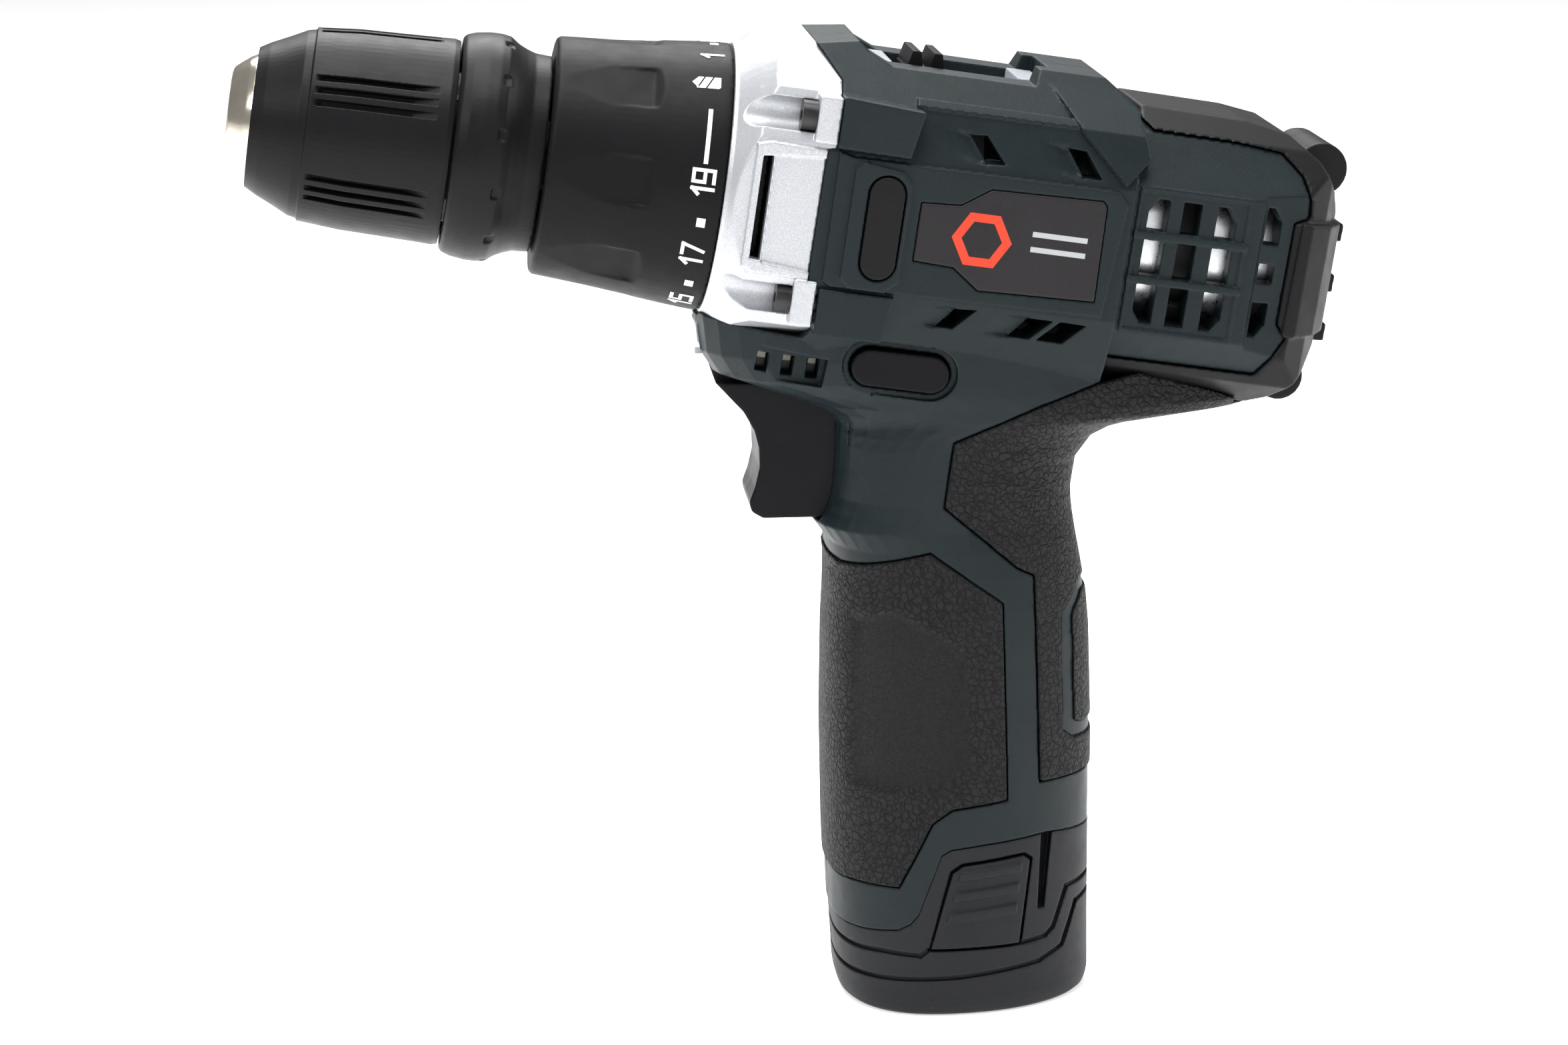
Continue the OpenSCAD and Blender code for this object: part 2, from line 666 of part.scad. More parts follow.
// Cut of one vent slot. Its corner towards the chuck (side = -1) or the rear (side = 1)
// is chamfered, at the top (up = 1) or the bottom (up = -1).
module vent_slot(s0, s1, h0, h1, up = 0, side = 0) {
    s = side < 0 ? s0 : s1;
    h = up < 0 ? h0 : h1;
    difference() {
        box([s0, 13, h0], [s1, 30, h1]);
        if (side != 0)
            slab([[s - side * 2.3, h + up], [s + side * 0.7, h - up * 3.2],
                  [s + side * 0.7, h + up]], 12, 31);
    }
}

module housing_vents()
    barrel() both_sides() {
        for (v = vents) slab(v, 15, 30);
        for (k = [0:2]) let (c = grid_columns[k]) {
            vent_slot(c[0], c[1], 4.1, 9.6, 1, k - 1);
            vent_slot(c[0], c[1], -3.7, 2.4);
            vent_slot(c[0], c[1], -12, -5.3, -1, k - 1);
        }
        vent_slot(177.3, 180.1, 4.1, 10.5, 1, 1);
        vent_slot(177.3, 180.1, -2.7, 0.8);
        vent_slot(177.3, 180.1, -12.1, -6, -1, 1);
    }

cell_spots = [[-9.5, 9.2], [-9.5, -9.2], [6.6, 0]];

// Three joined round columns that the cells stand in
module cell_columns(r, z0, z1) {
    for (c = cell_spots) translate([c.x, c.y, z0]) cylinder(h = z1 - z0, r = r);
    translate([0, 0, z0]) linear_extrude(z1 - z0) polygon(cell_spots);
}

// Housing screws: x, z, and the y that the underside of the head sits at
screw_spots = [[-26.8, 119.2, 11], [-0.6, 115.9, 11], [19.5, 106.2, 5.5], [-17.6, 81.2, 11]];

module at_screws()
    for (p = screw_spots) translate([p.x, p.z, p.y]) rotate([-90, 0, 0]) children();

// Room for everything inside the housing
module housing_hollow() {
    barrel() {
        rod(100, 152, 21.7);
        rod(98, 104, 19.5);
        rod(150, 178, 21);
        rod(177, 182.4, 18.8);
        rod(182, 186, 16.4);
        both_sides() box([118, 15, -11.6], [127.6, 21.9, 1]);
        box([106.6, -9.6, 20], [138.4, 9.6, 22.4]);
        box([106.8, -7.6, 20], [138.2, 7.6, 30]);
        box([92.2, -12.5, -31.4], [107.4, -10.6, -25.2]);
    }
    difference() {
        box([-22, -13, 86], [12, 13, 128]);
        // Boss of the screw that passes over the switch
        translate([screw_spots[1].x, -14, screw_spots[1].y]) rotate([-90, 0, 0])
            cylinder(h = 28, r = 3);
    }
    slab([[11, 104], [20, 109], [46, 112.5], [46, 122], [11, 124]], -14, 14);
    cell_columns(10.35, 8, 76);
    box([-11, -11, 74], [9, 11, 90]);
    // Mouth that the trigger slides in
    slab([[-52, 114.9], [-36, 114.7], [-22, 112.7], [-12, 112], [-12, 88.9], [-50, 88.9]],
         -trigger_half_w - 0.4, trigger_half_w + 0.4);
    // Room for the lamp and the charge gauge in the nose
    box([-50, -4.5, 118.2], [-36, 4.5, 124]);
    box([-41, -12.4, 116.2], [-30, 12.4, 122]);
}

// Window of the charge gauge on the left side
module gauge_window()
    barrel() {
        slab([[92, -25.3], [106.4, -25.9], [106.1, -31], [91.7, -31]], -30, -16.9);
        for (s = [94.6, 99, 103.4])
            slab([[s, -26.5], [s + 2.1, -26.5], [s + 1.9, -30], [s - 0.1, -30]], -30, -10);
    }

module grip_pockets() {
    difference() {
        slab(front_grip_line, -40, 40);
        loft(handle_rows, -grip_depth);
    }
    difference() {
        slab(palm_grip_line, -40, 40);
        loft(handle_rows, -grip_depth);
        difference() {
            slab(strap_line, -41, 41);
            slab(patch_line, -42, 42);
        }
    }
}

// Recess in the motor block that the rubber bumper fills
module bumper_pocket()
    barrel() difference() {
        slab(bumper_line, -40, 40);
        box([100, -41, -41], [153.9, 41, 41]);
        motor_envelope(-grip_depth);
    }

module housing_shape()
    difference() {
        housing_outside();
        housing_hollow();
        housing_vents();
        grip_pockets();
        bumper_pocket();
        // Room for the gear case and the torque collar in front
        barrel() {
            slab(concat([[60, -22.75], [60, 40], [97.2, 40]], case_edge, [[101, -22.75]]), -40, 40);
            rod(52, 84.6, 23.8);
            both_sides() slab(badge_line, body_half_w - 0.7, body_half_w + 5);
            both_sides() translate([111.35, 0, -1.15]) rotate([0, 90, 0])
                stadium(18.2, 6.6, body_half_w - 1, body_half_w + 5);
            translate([118.9, 0, -26]) stadium(17.8, 7.2, -40, 40);
            both_sides() translate([118.9, 0, -26]) stadium(20, 9.4, 20.4, 40);
            at_ears() rod(98, 110, 1.5);
            both_sides() translate([fork_pivot_s, 20, 0]) rotate([-90, 0, 0])
                cylinder(h = 3, r = 0.7);
        }
        // Everything below the seam belongs to the battery
        slab(concat([[-30, -5]], seam_line, [[30, -5]]), -40, 40);
        for (p = screw_spots) translate([p.x, -9.9, p.y]) rotate([-90, 0, 0])
            cylinder(h = 22, r = 1.45);
    }

module housing_left()
    color(green) difference() {
        housing_shape();
        box([-80, -0.03, -10], [90, 60, 200]);
        gauge_window();
    }

module housing_right()
    color(green) difference() {
        housing_shape();
        box([-80, -60, -10], [90, 0.03, 200]);
        at_screws() cylinder(h = 30, r = 2.5);
    }

module housing_screws()
    color(steel) for (p = screw_spots) translate([p.x, 0, p.y]) rotate([-90, 0, 0])
        difference() {
            union() {
                translate([0, 0, -9.7]) cylinder(h = p.z + 10, r = 1.4);
                translate([0, 0, p.z]) cylinder(h = 2.2, r = 2.3);
            }
            translate([0, 0, p.z + 0.7]) cylinder(h = 2, r = 1.15, $fn = 6);
        }

// ---------------------------------------------------------------- soft grips and trim

module front_grips()
    color(rubber) difference() {
        intersection() {
            loft(handle_rows, grip_proud);
            slab(front_grip_line, -40, 40);
        }
        loft(handle_rows, -grip_depth + 0.02);
        strips(front_grip_line, 0.6, -40, 40, true);
        box([-60, -0.03, 0], [60, 0.03, 200]);
    }

// Rounded stud under the motor that the drill can lie back on
module lower_stud(grow = 0)
    translate([187.6, -10 - grow, -20.6]) rotate([-90, 0, 0])
        cylinder(h = 20 + 2 * grow, r = 4.2 + grow);

module palm_grips()
    color(rubber) difference() {
        intersection() {
            loft(handle_rows, grip_proud);
            slab(palm_grip_line, -40, 40);
        }
        loft(handle_rows, -grip_depth + 0.02);
        difference() {
            slab(strap_line, -41, 41);
            slab(patch_line, -42, 42);
        }
        strips(palm_grip_line, 0.6, -40, 40, true);
        barrel() {
            motor_envelope(0.75);
            lower_stud(0.3);
        }
        box([-60, -0.03, 0], [60, 0.03, 200]);
    }

module rear_bumper()
    color(black) barrel() {
        difference() {
            intersection() {
                motor_envelope(0.5);
                slab(bumper_line, -40, 40);
            }
            motor_envelope(-1.38);
            strips(bumper_line, 0.5, -40, 40, true);
            box([140, -40, -40], [153.95, 40, 40]);
        }
        // Raised guards on both rear corners
        both_sides() difference() {
            intersection() {
                motor_envelope(1.4);
                slab([[183.6, 8.6], [195, 8.2], [195, -11], [183.2, -11.4]], 13.5, 30);
            }
            motor_envelope(-1.38);
        }
        // Upper and lower studs and the ribs between them
        difference() {
            union() {
                translate([188.6, -10, 16.6]) rotate([-90, 0, 0]) cylinder(h = 20, r = 4.6);
                lower_stud();
                for (h = [5.9, -3.2, -12]) box([190, -9, h - 1.6], [194.6, 9, h + 1.6]);
            }
            motor_envelope(-1.38);
        }
    }

module side_pads()
    color(rubber) barrel() both_sides() translate([111.35, 0, -1.15]) rotate([0, 90, 0])
        stadium(17.6, 6, body_half_w - 0.98, body_half_w + 1.2);

module side_badges()
    color(black) barrel() both_sides() difference() {
        slab(badge_line, body_half_w - 0.68, body_half_w + 0.15);
        strips(badge_line, 0.3, body_half_w - 1, body_half_w + 1, true);
    }

module gear_label_plate()
    color(silver) barrel() difference() {
        union() {
            box([106.9, -9.4, 21.75], [138.1, 9.4, 22.3]);
            box([107, -7.4, 22], [111.4, 7.4, 25]);
            box([133.6, -7.4, 22], [138, 7.4, 25]);
        }
        box([114.4, -2.4, 20], [131.4, 2.4, 24]);
    }

module speed_knob()
    color(black) barrel() difference() {
        union() {
            box([113.9, -6.6, 22.5], [121.1, 6.6, 24.2]);
            for (s = [115.6, 119.4])
                slab([[s - 1.5, 24], [s - 0.7, 27.2], [s + 0.7, 27.2], [s + 1.5, 24]], -6.6, 6.6);
            box([115.4, -2, 19.55], [119.6, 2, 23]);
        }
        box([116.45, -3, 19], [118.55, 3, 21.6]);
    }

module led_lens()
    color([0.9, 0.95, 1, 0.6]) box([-48.4, -4.3, 118.4], [-41, 4.3, 123.8]);

module gauge_board()
    color([0.1, 0.35, 0.15]) barrel() {
        box([92.6, -12.1, -31], [107, -10.9, -25.6]);
        for (s = [94.9, 99.3, 103.7]) box([s, -13.6, -29.4], [s + 1.4, -12.1, -27]);
    }

// ---------------------------------------------------------------- controls

trigger_line = [[-45.2, 114], [-43, 111.6], [-40.2, 108.6], [-38.3, 105.2], [-37.5, 102],
                [-37.4, 98.5], [-38.2, 95], [-39.2, 92.3], [-38.8, 90.6], [-36.8, 89.35],
                [-24.4, 89.35], [-24.4, 111.6], [-31, 112.4], [-38, 113.8]];

wing_end = -11.5 - trigger_travel;

module trigger()
    color(black) {
        slab(trigger_line, -trigger_half_w, trigger_half_w);
        both_sides() slab([[-25, 89.6], [wing_end, 91], [wing_end, 110.5], [-25, 111.4]],
                          7.35, trigger_half_w);
        translate([-26, 0, 100]) rotate([0, 90, 0]) cylinder(h = 14, r = 2.6);
    }

module trigger_spring()
    color(steel) translate([0, 0, 100]) coil(3.9, 0.35, -24.35, -15.55, 6, 14);

module switch_body()
    color(black) difference() {
        union() {
            box([-15.5, -7, 88.6], [10, 7, 112.3]);
            box([10, -4, 92], [11.6, 4, 104]);
        }
        translate([-17, 0, 100]) rotate([0, 90, 0]) cylinder(h = 15, r = 2.9);
    }

module direction_button()
    color(black) barrel() translate([118.9, 0, -26]) {
        stadium(17, 6.4, 16.8, 21.9);
        stadium(17, 6.4, -21.9, -16.8);
        box([-4, -17, -2], [4, 17, 2]);
    }

// ---------------------------------------------------------------- battery

battery_rows = [
    [0, -21.8, 22, 20.4], [0.7, -22.6, 22.8, 21.2], [1.9, -23, 23.2, 21.6],
    [3.2, -23.2, 23.4, 21.8], [14, -23.9, 23.2, 21.9], [34, -24.7, 23, 22]
];
seam_gap = 0.25;
latch_line = [[-8, 13], [-4.2, 27], [-2.4, 28.2], [8.6, 29.2], [9.9, 28.2], [8, 13]];
latch_pocket_line = [[-8.5, 12.4], [-4.7, 27.4], [-2.7, 28.8], [8.8, 29.8], [10.5, 28.6],
                     [8.5, 12.4]];
upper_groove = [[-30, 11.2], [-16.5, 12], [-9.8, 11.6], [-8.6, 12.6]];
side_groove = [[8.7, 12.8], [13.1, 13.2], [14.7, 14.5], [17.3, 21.5], [30, 22.3]];
lower_groove = [[-30, 6], [-19.6, 6.8], [-13, 7], [-2.2, 7.4], [11.9, 8.7], [16.6, 10.6],
                [19.4, 18], [30, 19.8]];

module battery_skin_cut(depth)
    difference() {
        children();
        loft(battery_rows, -depth, 36);
    }

module battery_case()
    color(black) difference() {
        union() {
            intersection() {
                loft(battery_rows, 0, 36);
                translate([0, 0, -seam_gap])
                    slab(concat([[-30, -5]], seam_line, [[30, -5]]), -40, 40);
            }
            cell_columns(10, 8, stalk_top);
        }
        for (c = cell_spots) translate([c.x, c.y, 3]) cylinder(h = stalk_top - 5, r = cell_r + 0.1);
        translate([0, 0, 68]) linear_extrude(stalk_top - 70) polygon(cell_spots);
        // Slots in the roof for the contact blades
        for (y = [-5, 0, 5]) box([-8, y - 0.7, stalk_top - 3], [-2, y + 0.7, stalk_top + 1]);
        battery_skin_cut(2.6) slab(latch_pocket_line, -40, 40);
        battery_skin_cut(0.8) {
            strips(upper_groove, 0.9, -40, 40);
            strips(side_groove, 0.9, -40, 40);
            strips(lower_groove, 0.9, -40, 40);
        }
        battery_skin_cut(2.6) slab([[12, 33.5], [14.3, 33.5], [12.9, 18.6], [11.5, 18.6]], -40, 40);
    }

module battery_latch()
    intersection() {
        union() {
            difference() {
                loft(battery_rows, 0.3, 36);
                loft(battery_rows, -1.2, 36);
            }
            difference() {
                intersection() {
                    loft(battery_rows, 0.9, 36);
                    union() {
                        slab([[-3.4, 25.6], [-3, 27.2], [8.2, 28.2], [8.2, 26.6]], -40, 0);
                        slab([[-4.4, 21.8], [-4, 23.4], [7.8, 24.4], [7.8, 22.8]], -40, 0);
                        slab([[-5.4, 18], [-5, 19.6], [7.4, 20.6], [7.4, 19]], -40, 0);
                    }
                }
                loft(battery_rows, -1, 36);
            }
        }
        slab(latch_line, -40, 0);
    }

module latch_left() color(black) battery_latch();
module latch_right() color(black) mirror([0, 1, 0]) battery_latch();

module battery_cells()
    color([0.2, 0.35, 0.6]) for (c = cell_spots)
        translate([c.x, c.y, 3.1]) cylinder(h = cell_len, r = cell_r);

module battery_board()
    color([0.1, 0.35, 0.15]) {
        translate([0, 0, 68.4]) linear_extrude(1.4) polygon(
            [for (c = cell_spots) 0.9 * c]);
        for (y = [-5, 0, 5]) box([-7, y - 0.4, 69.6], [-3, y + 0.4, 80]);
    }

module battery_terminals()
    color(black) difference() {
        box([-10.5, -9, 76.6], [6, 9, 84]);
        for (y = [-5, 0, 5]) box([-7.5, y - 0.75, 76], [-2.5, y + 0.75, 82]);
    }

// ---------------------------------------------------------------- the nodes

housing_left();
housing_right();
gear_case();
gear_case_screws();
housing_screws();
front_grips();
palm_grips();
rear_bumper();
side_pads();
side_badges();
gear_label_plate();
led_lens();
gauge_board();
switch_body();
trigger_spring();
battery_terminals();
motor_can();
motor_magnets();
motor_end_cap();
motor_brushes();
motor_plate();
clutch_ring_gear();
spindle_bearings();
clutch_pins();
clutch_washer();
clutch_spring();
motor_shaft();
armature();
commutator();
cooling_fan();
motor_pinion();
carrier_1();
carrier_2();
planet_1(0);  // planet_1_a
planet_1(1);  // planet_1_b
planet_1(2);  // planet_1_c
planet_2(0);  // planet_2_a
planet_2(1);  // planet_2_b
planet_2(2);  // planet_2_c
output_spindle();
chuck_body();
chuck_rear_ring();
chuck_screw();
chuck_sleeve();
chuck_nut();
jaw(0);  // jaw_a
jaw(1);  // jaw_b
jaw(2);  // jaw_c
torque_collar();
spring_nut();
shift_ring_gear();
shift_fork();
speed_knob();
trigger();
direction_button();
battery_case();
battery_cells();
battery_board();
latch_left();
latch_right();
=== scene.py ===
import json
import math

import bmesh
import bpy
import numpy as np
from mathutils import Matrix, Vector


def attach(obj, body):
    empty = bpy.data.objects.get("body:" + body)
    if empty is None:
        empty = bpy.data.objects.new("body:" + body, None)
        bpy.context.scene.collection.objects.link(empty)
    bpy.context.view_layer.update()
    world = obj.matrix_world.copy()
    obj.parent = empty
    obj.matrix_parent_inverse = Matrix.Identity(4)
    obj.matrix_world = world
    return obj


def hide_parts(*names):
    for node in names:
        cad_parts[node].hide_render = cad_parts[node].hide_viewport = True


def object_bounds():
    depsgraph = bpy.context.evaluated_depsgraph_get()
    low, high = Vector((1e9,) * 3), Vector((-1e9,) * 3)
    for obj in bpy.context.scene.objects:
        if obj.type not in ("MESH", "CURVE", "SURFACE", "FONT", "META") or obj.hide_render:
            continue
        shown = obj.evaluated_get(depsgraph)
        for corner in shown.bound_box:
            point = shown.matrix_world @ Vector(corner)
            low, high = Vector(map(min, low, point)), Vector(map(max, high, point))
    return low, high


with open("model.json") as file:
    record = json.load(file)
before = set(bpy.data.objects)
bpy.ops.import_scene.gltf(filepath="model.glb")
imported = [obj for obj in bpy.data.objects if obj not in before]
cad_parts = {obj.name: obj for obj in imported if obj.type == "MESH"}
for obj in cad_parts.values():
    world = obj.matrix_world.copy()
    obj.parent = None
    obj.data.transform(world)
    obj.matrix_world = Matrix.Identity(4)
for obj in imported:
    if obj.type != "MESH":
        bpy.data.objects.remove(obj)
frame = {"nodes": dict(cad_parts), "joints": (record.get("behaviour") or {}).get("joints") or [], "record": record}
cad_low, cad_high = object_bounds()

MM = 0.001
nodes = frame["nodes"]

# ---------------------------------------------------------------- places

# Barrel frame: s runs along the spindle axis from the chuck's nose to the rear, y is the
# drill's own y, and h stands square to the spindle axis. All three are in millimetres.
chuck_spin = next(j for j in frame["joints"] if j["name"] == "chuck_spin")
SPINDLE = Vector(chuck_spin["axis"]).normalized()
ACROSS = Vector((0, 1, 0))
UP = SPINDLE.cross(ACROSS)
on_axis = Vector(chuck_spin["pos_m"])
nose_s = min((v.co - on_axis).dot(SPINDLE) for v in nodes["chuck_body"].data.vertices)
NOSE = on_axis + SPINDLE * nose_s
SIDES = ((-1, "left"), (1, "right"))


def barrel(s, y, h):
    """World position, in metres, of a point of the barrel frame."""
    return NOSE + (SPINDLE * s + ACROSS * y + UP * h) * MM


def around(s, r, angle):
    """Point at radius r and at an angle from the left side (0) towards the top (90)."""
    a = math.radians(angle)
    return barrel(s, -r * math.cos(a), r * math.sin(a))


def to_barrel(points):
    """Barrel coordinates, in millimetres, of an array of world positions."""
    d = (points - np.array(NOSE)) / MM
    return np.stack([d @ np.array(SPINDLE), d @ np.array(ACROSS), d @ np.array(UP)], 1)


# ---------------------------------------------------------------- material kit

class Nodes:
    """Short calls for a material's node tree."""

    def __init__(self, name):
        self.mat = bpy.data.materials.new(name)
        self.mat.use_nodes = True
        self.tree = self.mat.node_tree
        self.tree.nodes.clear()
        self.out = self.tree.nodes.new("ShaderNodeOutputMaterial")
        self.shader = self.tree.nodes.new("ShaderNodeBsdfPrincipled")
        self.link(self.shader.outputs[0], self.out.inputs[0])
        self.coords = self.tree.nodes.new("ShaderNodeTexCoord").outputs["Object"]

    def link(self, a, b):
        self.tree.links.new(a, b)

    def feed(self, socket, value):
        """Links an output to the socket, or sets the socket to a plain value."""
        if hasattr(value, "is_output"):
            self.link(value, socket)
        else:
            socket.default_value = value

    def new(self, kind, inputs=None, **settings):
        node = self.tree.nodes.new(kind)
        for key, value in settings.items():
            setattr(node, key, value)
        for key, value in (inputs or {}).items():
            self.feed(node.inputs[key], value)
        return node

    def noise(self, size_mm, detail=3.0, rough=0.55):
        """Noise whose features are about size_mm across."""
        return self.new("ShaderNodeTexNoise", {
            "Vector": self.coords, "Scale": 1 / (size_mm * MM), "Detail": detail,
            "Roughness": rough}).outputs["Fac"]

    def cells(self, size_mm, warp_mm):
        """Distance to the edges of a cell pattern that noise warps by up to warp_mm."""
        wobble = self.new("ShaderNodeTexNoise", {
            "Vector": self.coords, "Scale": 0.8 / (size_mm * MM), "Detail": 2.0})
        shifted = self.new("ShaderNodeVectorMath", {
            0: wobble.outputs["Color"], 1: (0.5, 0.5, 0.5)}, operation="SUBTRACT")
        scaled = self.new("ShaderNodeVectorMath", {
            0: shifted.outputs[0], "Scale": warp_mm * MM * 2}, operation="SCALE")
        place = self.new("ShaderNodeVectorMath", {
            0: self.coords, 1: scaled.outputs[0]}, operation="ADD").outputs[0]
        return self.new("ShaderNodeTexVoronoi", {
            "Vector": place, "Scale": 1 / (size_mm * MM)},
            feature="DISTANCE_TO_EDGE").outputs[0]

    def along(self, axis):
        """Barrel coordinate of the surface point along an axis, in millimetres."""
        place = self.new("ShaderNodeVectorMath", {0: self.coords, 1: tuple(NOSE)},
                         operation="SUBTRACT").outputs[0]
        return self.new("ShaderNodeVectorMath", {0: place, 1: tuple(axis / MM)},
                        operation="DOT_PRODUCT").outputs["Value"]

    def ramp(self, fac, low, high, a=0.0, b=1.0):
        """Maps fac from low..high to a..b, clamped."""
        return self.new("ShaderNodeMapRange", {
            "Value": fac, "From Min": low, "From Max": high, "To Min": a, "To Max": b}).outputs[0]

    def maths(self, kind, a, b):
        return self.new("ShaderNodeMath", {0: a, 1: b}, operation=kind).outputs[0]

    def mix(self, fac, a, b):
        return self.new("ShaderNodeMixRGB",
                        {"Fac": fac, "Color1": a, "Color2": b}).outputs[0]

    def bump(self, height, depth_mm, below=None):
        node = self.new("ShaderNodeBump", {"Height": height, "Distance": depth_mm * MM,
                                           "Strength": 1.0})
        if below is not None:
            self.link(below, node.inputs["Normal"])
        return node.outputs[0]

    def edges(self, low=0.52, high=0.6):
        """1 on sharp outer edges, 0 on flats."""
        point = self.new("ShaderNodeNewGeometry").outputs["Pointiness"]
        return self.ramp(point, low, high)

    def finish(self, color, rough, normal=None, metallic=0.0, specular=0.3):
        self.feed(self.shader.inputs["Base Color"], color)
        self.feed(self.shader.inputs["Roughness"], rough)
        if normal is not None:
            self.link(normal, self.shader.inputs["Normal"])
        self.shader.inputs["Metallic"].default_value = metallic
        self.shader.inputs["Specular IOR Level"].default_value = specular
        return self.mat


def rgb(r, g, b):
    """Linear colour from an sRGB one, 0 to 255."""
    def line(c):
        c /= 255
        return c / 12.92 if c <= 0.04045 else ((c + 0.055) / 1.055) ** 2.4
    return (line(r), line(g), line(b), 1.0)


def shade(color, k):
    """The colour made k times as bright."""
    return tuple(min(1.0, c * k) for c in color[:3]) + (1.0,)


def moulded_plastic(name, color, rough=0.5, grain_mm=0.35, depth_mm=0.012, edge=1.35,
                    specular=0.2):
    """Textured injection-moulded plastic: fine spark grain, slow colour drift, paler edges."""
    n = Nodes(name)
    drift = n.ramp(n.noise(14, 2), 0.3, 0.7)
    base = n.mix(drift, shade(color, 0.9), shade(color, 1.1))
    speck = n.ramp(n.noise(grain_mm * 1.6, 2), 0.35, 0.75)
    base = n.mix(speck, base, n.mix(0.5, base, shade(color, 1.3)))
    base = n.mix(n.edges(), base, shade(color, edge))
    grain = n.noise(grain_mm, 2.5, 0.6)
    rough_map = n.ramp(n.noise(3.5, 3), 0.25, 0.75, rough - 0.05, rough + 0.06)
    return n.finish(base, rough_map, n.bump(grain, depth_mm), specular=specular)


def leather_rubber(name, color, rough, cell_mm, depth_mm):
    """Soft rubber with a leather grain that fades where the attribute smooth_area is 1."""
    n = Nodes(name)
    calm = n.new("ShaderNodeAttribute", attribute_name="smooth_area").outputs["Fac"]
    coarse = n.ramp(n.cells(cell_mm, 0.5), 0.0, 0.16)
    second = n.ramp(n.cells(cell_mm * 1.9, 0.9), 0.0, 0.1)
    fine = n.noise(0.16, 2)
    leather = n.maths("ADD", n.maths("MULTIPLY", coarse, 0.55),
                      n.maths("ADD", n.maths("MULTIPLY", second, 0.3),
                              n.maths("MULTIPLY", fine, 0.3)))
    # The calm areas keep a fine pebble only
    pebble = n.maths("MULTIPLY", n.ramp(n.cells(0.45, 0.2), 0.0, 0.3), 0.25)
    height = n.maths("ADD", n.maths("MULTIPLY", leather, n.ramp(calm, 0, 1, 1.0, 0.0)),
                     n.maths("MULTIPLY", pebble, calm))
    # Painted shade and highlight on the grain: its creases darker and its crests paler
    base = n.mix(n.ramp(leather, 0.4, 1.0), shade(color, 0.4), shade(color, 1.25))
    base = n.mix(calm, base, shade(color, 0.98))
    base = n.mix(n.ramp(n.noise(11, 3), 0.3, 0.7), base, n.mix(0.3, base, shade(color, 1.35)))
    base = n.mix(n.edges(0.53, 0.62), base, shade(color, 1.5))
    rough_map = n.ramp(leather, 0.3, 1.0, rough + 0.1, rough - 0.06)
    return n.finish(base, rough_map, n.bump(height, depth_mm), specular=0.2)


def smooth_rubber(name, color, rough=0.48):
    """Plain rubber with a little pale dust."""
    n = Nodes(name)
    base = n.mix(n.ramp(n.noise(8, 3), 0.3, 0.7), shade(color, 0.85), shade(color, 1.15))
    base = n.mix(n.edges(0.53, 0.62), base, shade(color, 1.7))
    dust = n.ramp(n.noise(0.7, 4, 0.7), 0.62, 0.75)
    base = n.mix(n.maths("MULTIPLY", dust, 0.2), base, shade(color, 2.2))
    return n.finish(base, n.ramp(n.noise(5, 3), 0.3, 0.7, rough - 0.05, rough + 0.07),
                    n.bump(n.noise(0.25, 2), 0.006), specular=0.18)


# Side slots of the gear case, whose inside is painted near black as shade, in millimetres: along s, up to h each
# way, and y of their floor
SLOT_S, SLOT_H, SLOT_FLOOR_Y = (89.5, 91.9), 9.8, (22.2, 23.2)


def painted_silver(name):
    """Metallic paint on a casting: fine flakes, a little orange peel, and painted shade inside the side slots."""
    n = Nodes(name)
    color = rgb(200, 202, 206)
    flake = n.ramp(n.noise(0.22, 1.5, 0.6), 0.35, 0.7)
    base = n.mix(flake, shade(color, 0.8), shade(color, 1.08))
    base = n.mix(n.ramp(n.noise(9, 2), 0.3, 0.7), base, n.mix(0.3, base, shade(color, 0.9)))
    base = n.mix(n.edges(0.53, 0.64), base, shade(color, 1.12))
    # The slots in the side pockets open into the casting; their inside is painted near black and not metallic, as
    # shade
    s, h = n.along(SPINDLE), n.maths("ABSOLUTE", n.along(UP), 0.0)
    slot_shade = n.maths("MULTIPLY", n.ramp(s, SLOT_S[0], SLOT_S[0] + 0.2),
                   n.ramp(s, SLOT_S[1] - 0.2, SLOT_S[1], 1.0, 0.0))
    slot_shade = n.maths("MULTIPLY", slot_shade, n.ramp(h, SLOT_H - 0.3, SLOT_H, 1.0, 0.0))
    deep = n.ramp(n.maths("ABSOLUTE", n.along(ACROSS), 0.0), *SLOT_FLOOR_Y, 1.0, 0.0)
    slot_shade = n.maths("MULTIPLY", slot_shade, deep)
    # Painted shade: near black inside the slots
    base = n.mix(slot_shade, base, rgb(8, 8, 9))
    peel = n.bump(n.noise(1.4, 2), 0.01)
    n.finish(base, n.ramp(flake, 0, 1, 0.5, 0.36),
             n.bump(n.noise(0.22, 1.5, 0.6), 0.006, peel))
    n.link(n.ramp(slot_shade, 0, 1, 0.75, 0.0), n.shader.inputs["Metallic"])
    return n.mat


BRIGHT_END = (4.3, 4.9)  # s at which the chuck's bright nose ends


def chuck_metal(name):
    """Bright nickel on the nose, blackened steel from just behind it."""
    n = Nodes(name)
    s = n.along(SPINDLE)
    rings = n.new("ShaderNodeTexNoise", {"W": s, "Scale": 8.0, "Detail": 2.0},
                  noise_dimensions="1D").outputs["Fac"]
    smear = n.noise(6, 3)
    rear = n.ramp(s, *BRIGHT_END)
    color = rgb(224, 216, 200)
    bright = n.mix(n.ramp(smear, 0.3, 0.7), shade(color, 0.88), shade(color, 1.05))
    base = n.mix(rear, bright, rgb(20, 20, 21))
    rough_map = n.maths("ADD", n.ramp(rings, 0.2, 0.8, 0.13, 0.24), n.ramp(s, *BRIGHT_END, 0, 0.3))
    n.finish(base, rough_map, n.bump(rings, 0.002))
    n.link(n.ramp(s, *BRIGHT_END, 1.0, 0.2), n.shader.inputs["Metallic"])
    return n.mat


# Where the lamps stand out of the gauge's board, and where their pale ends begin
LAMP_Y, LAMP_PALE_H = (12.2, 12.4), (-28.1, -27.9)


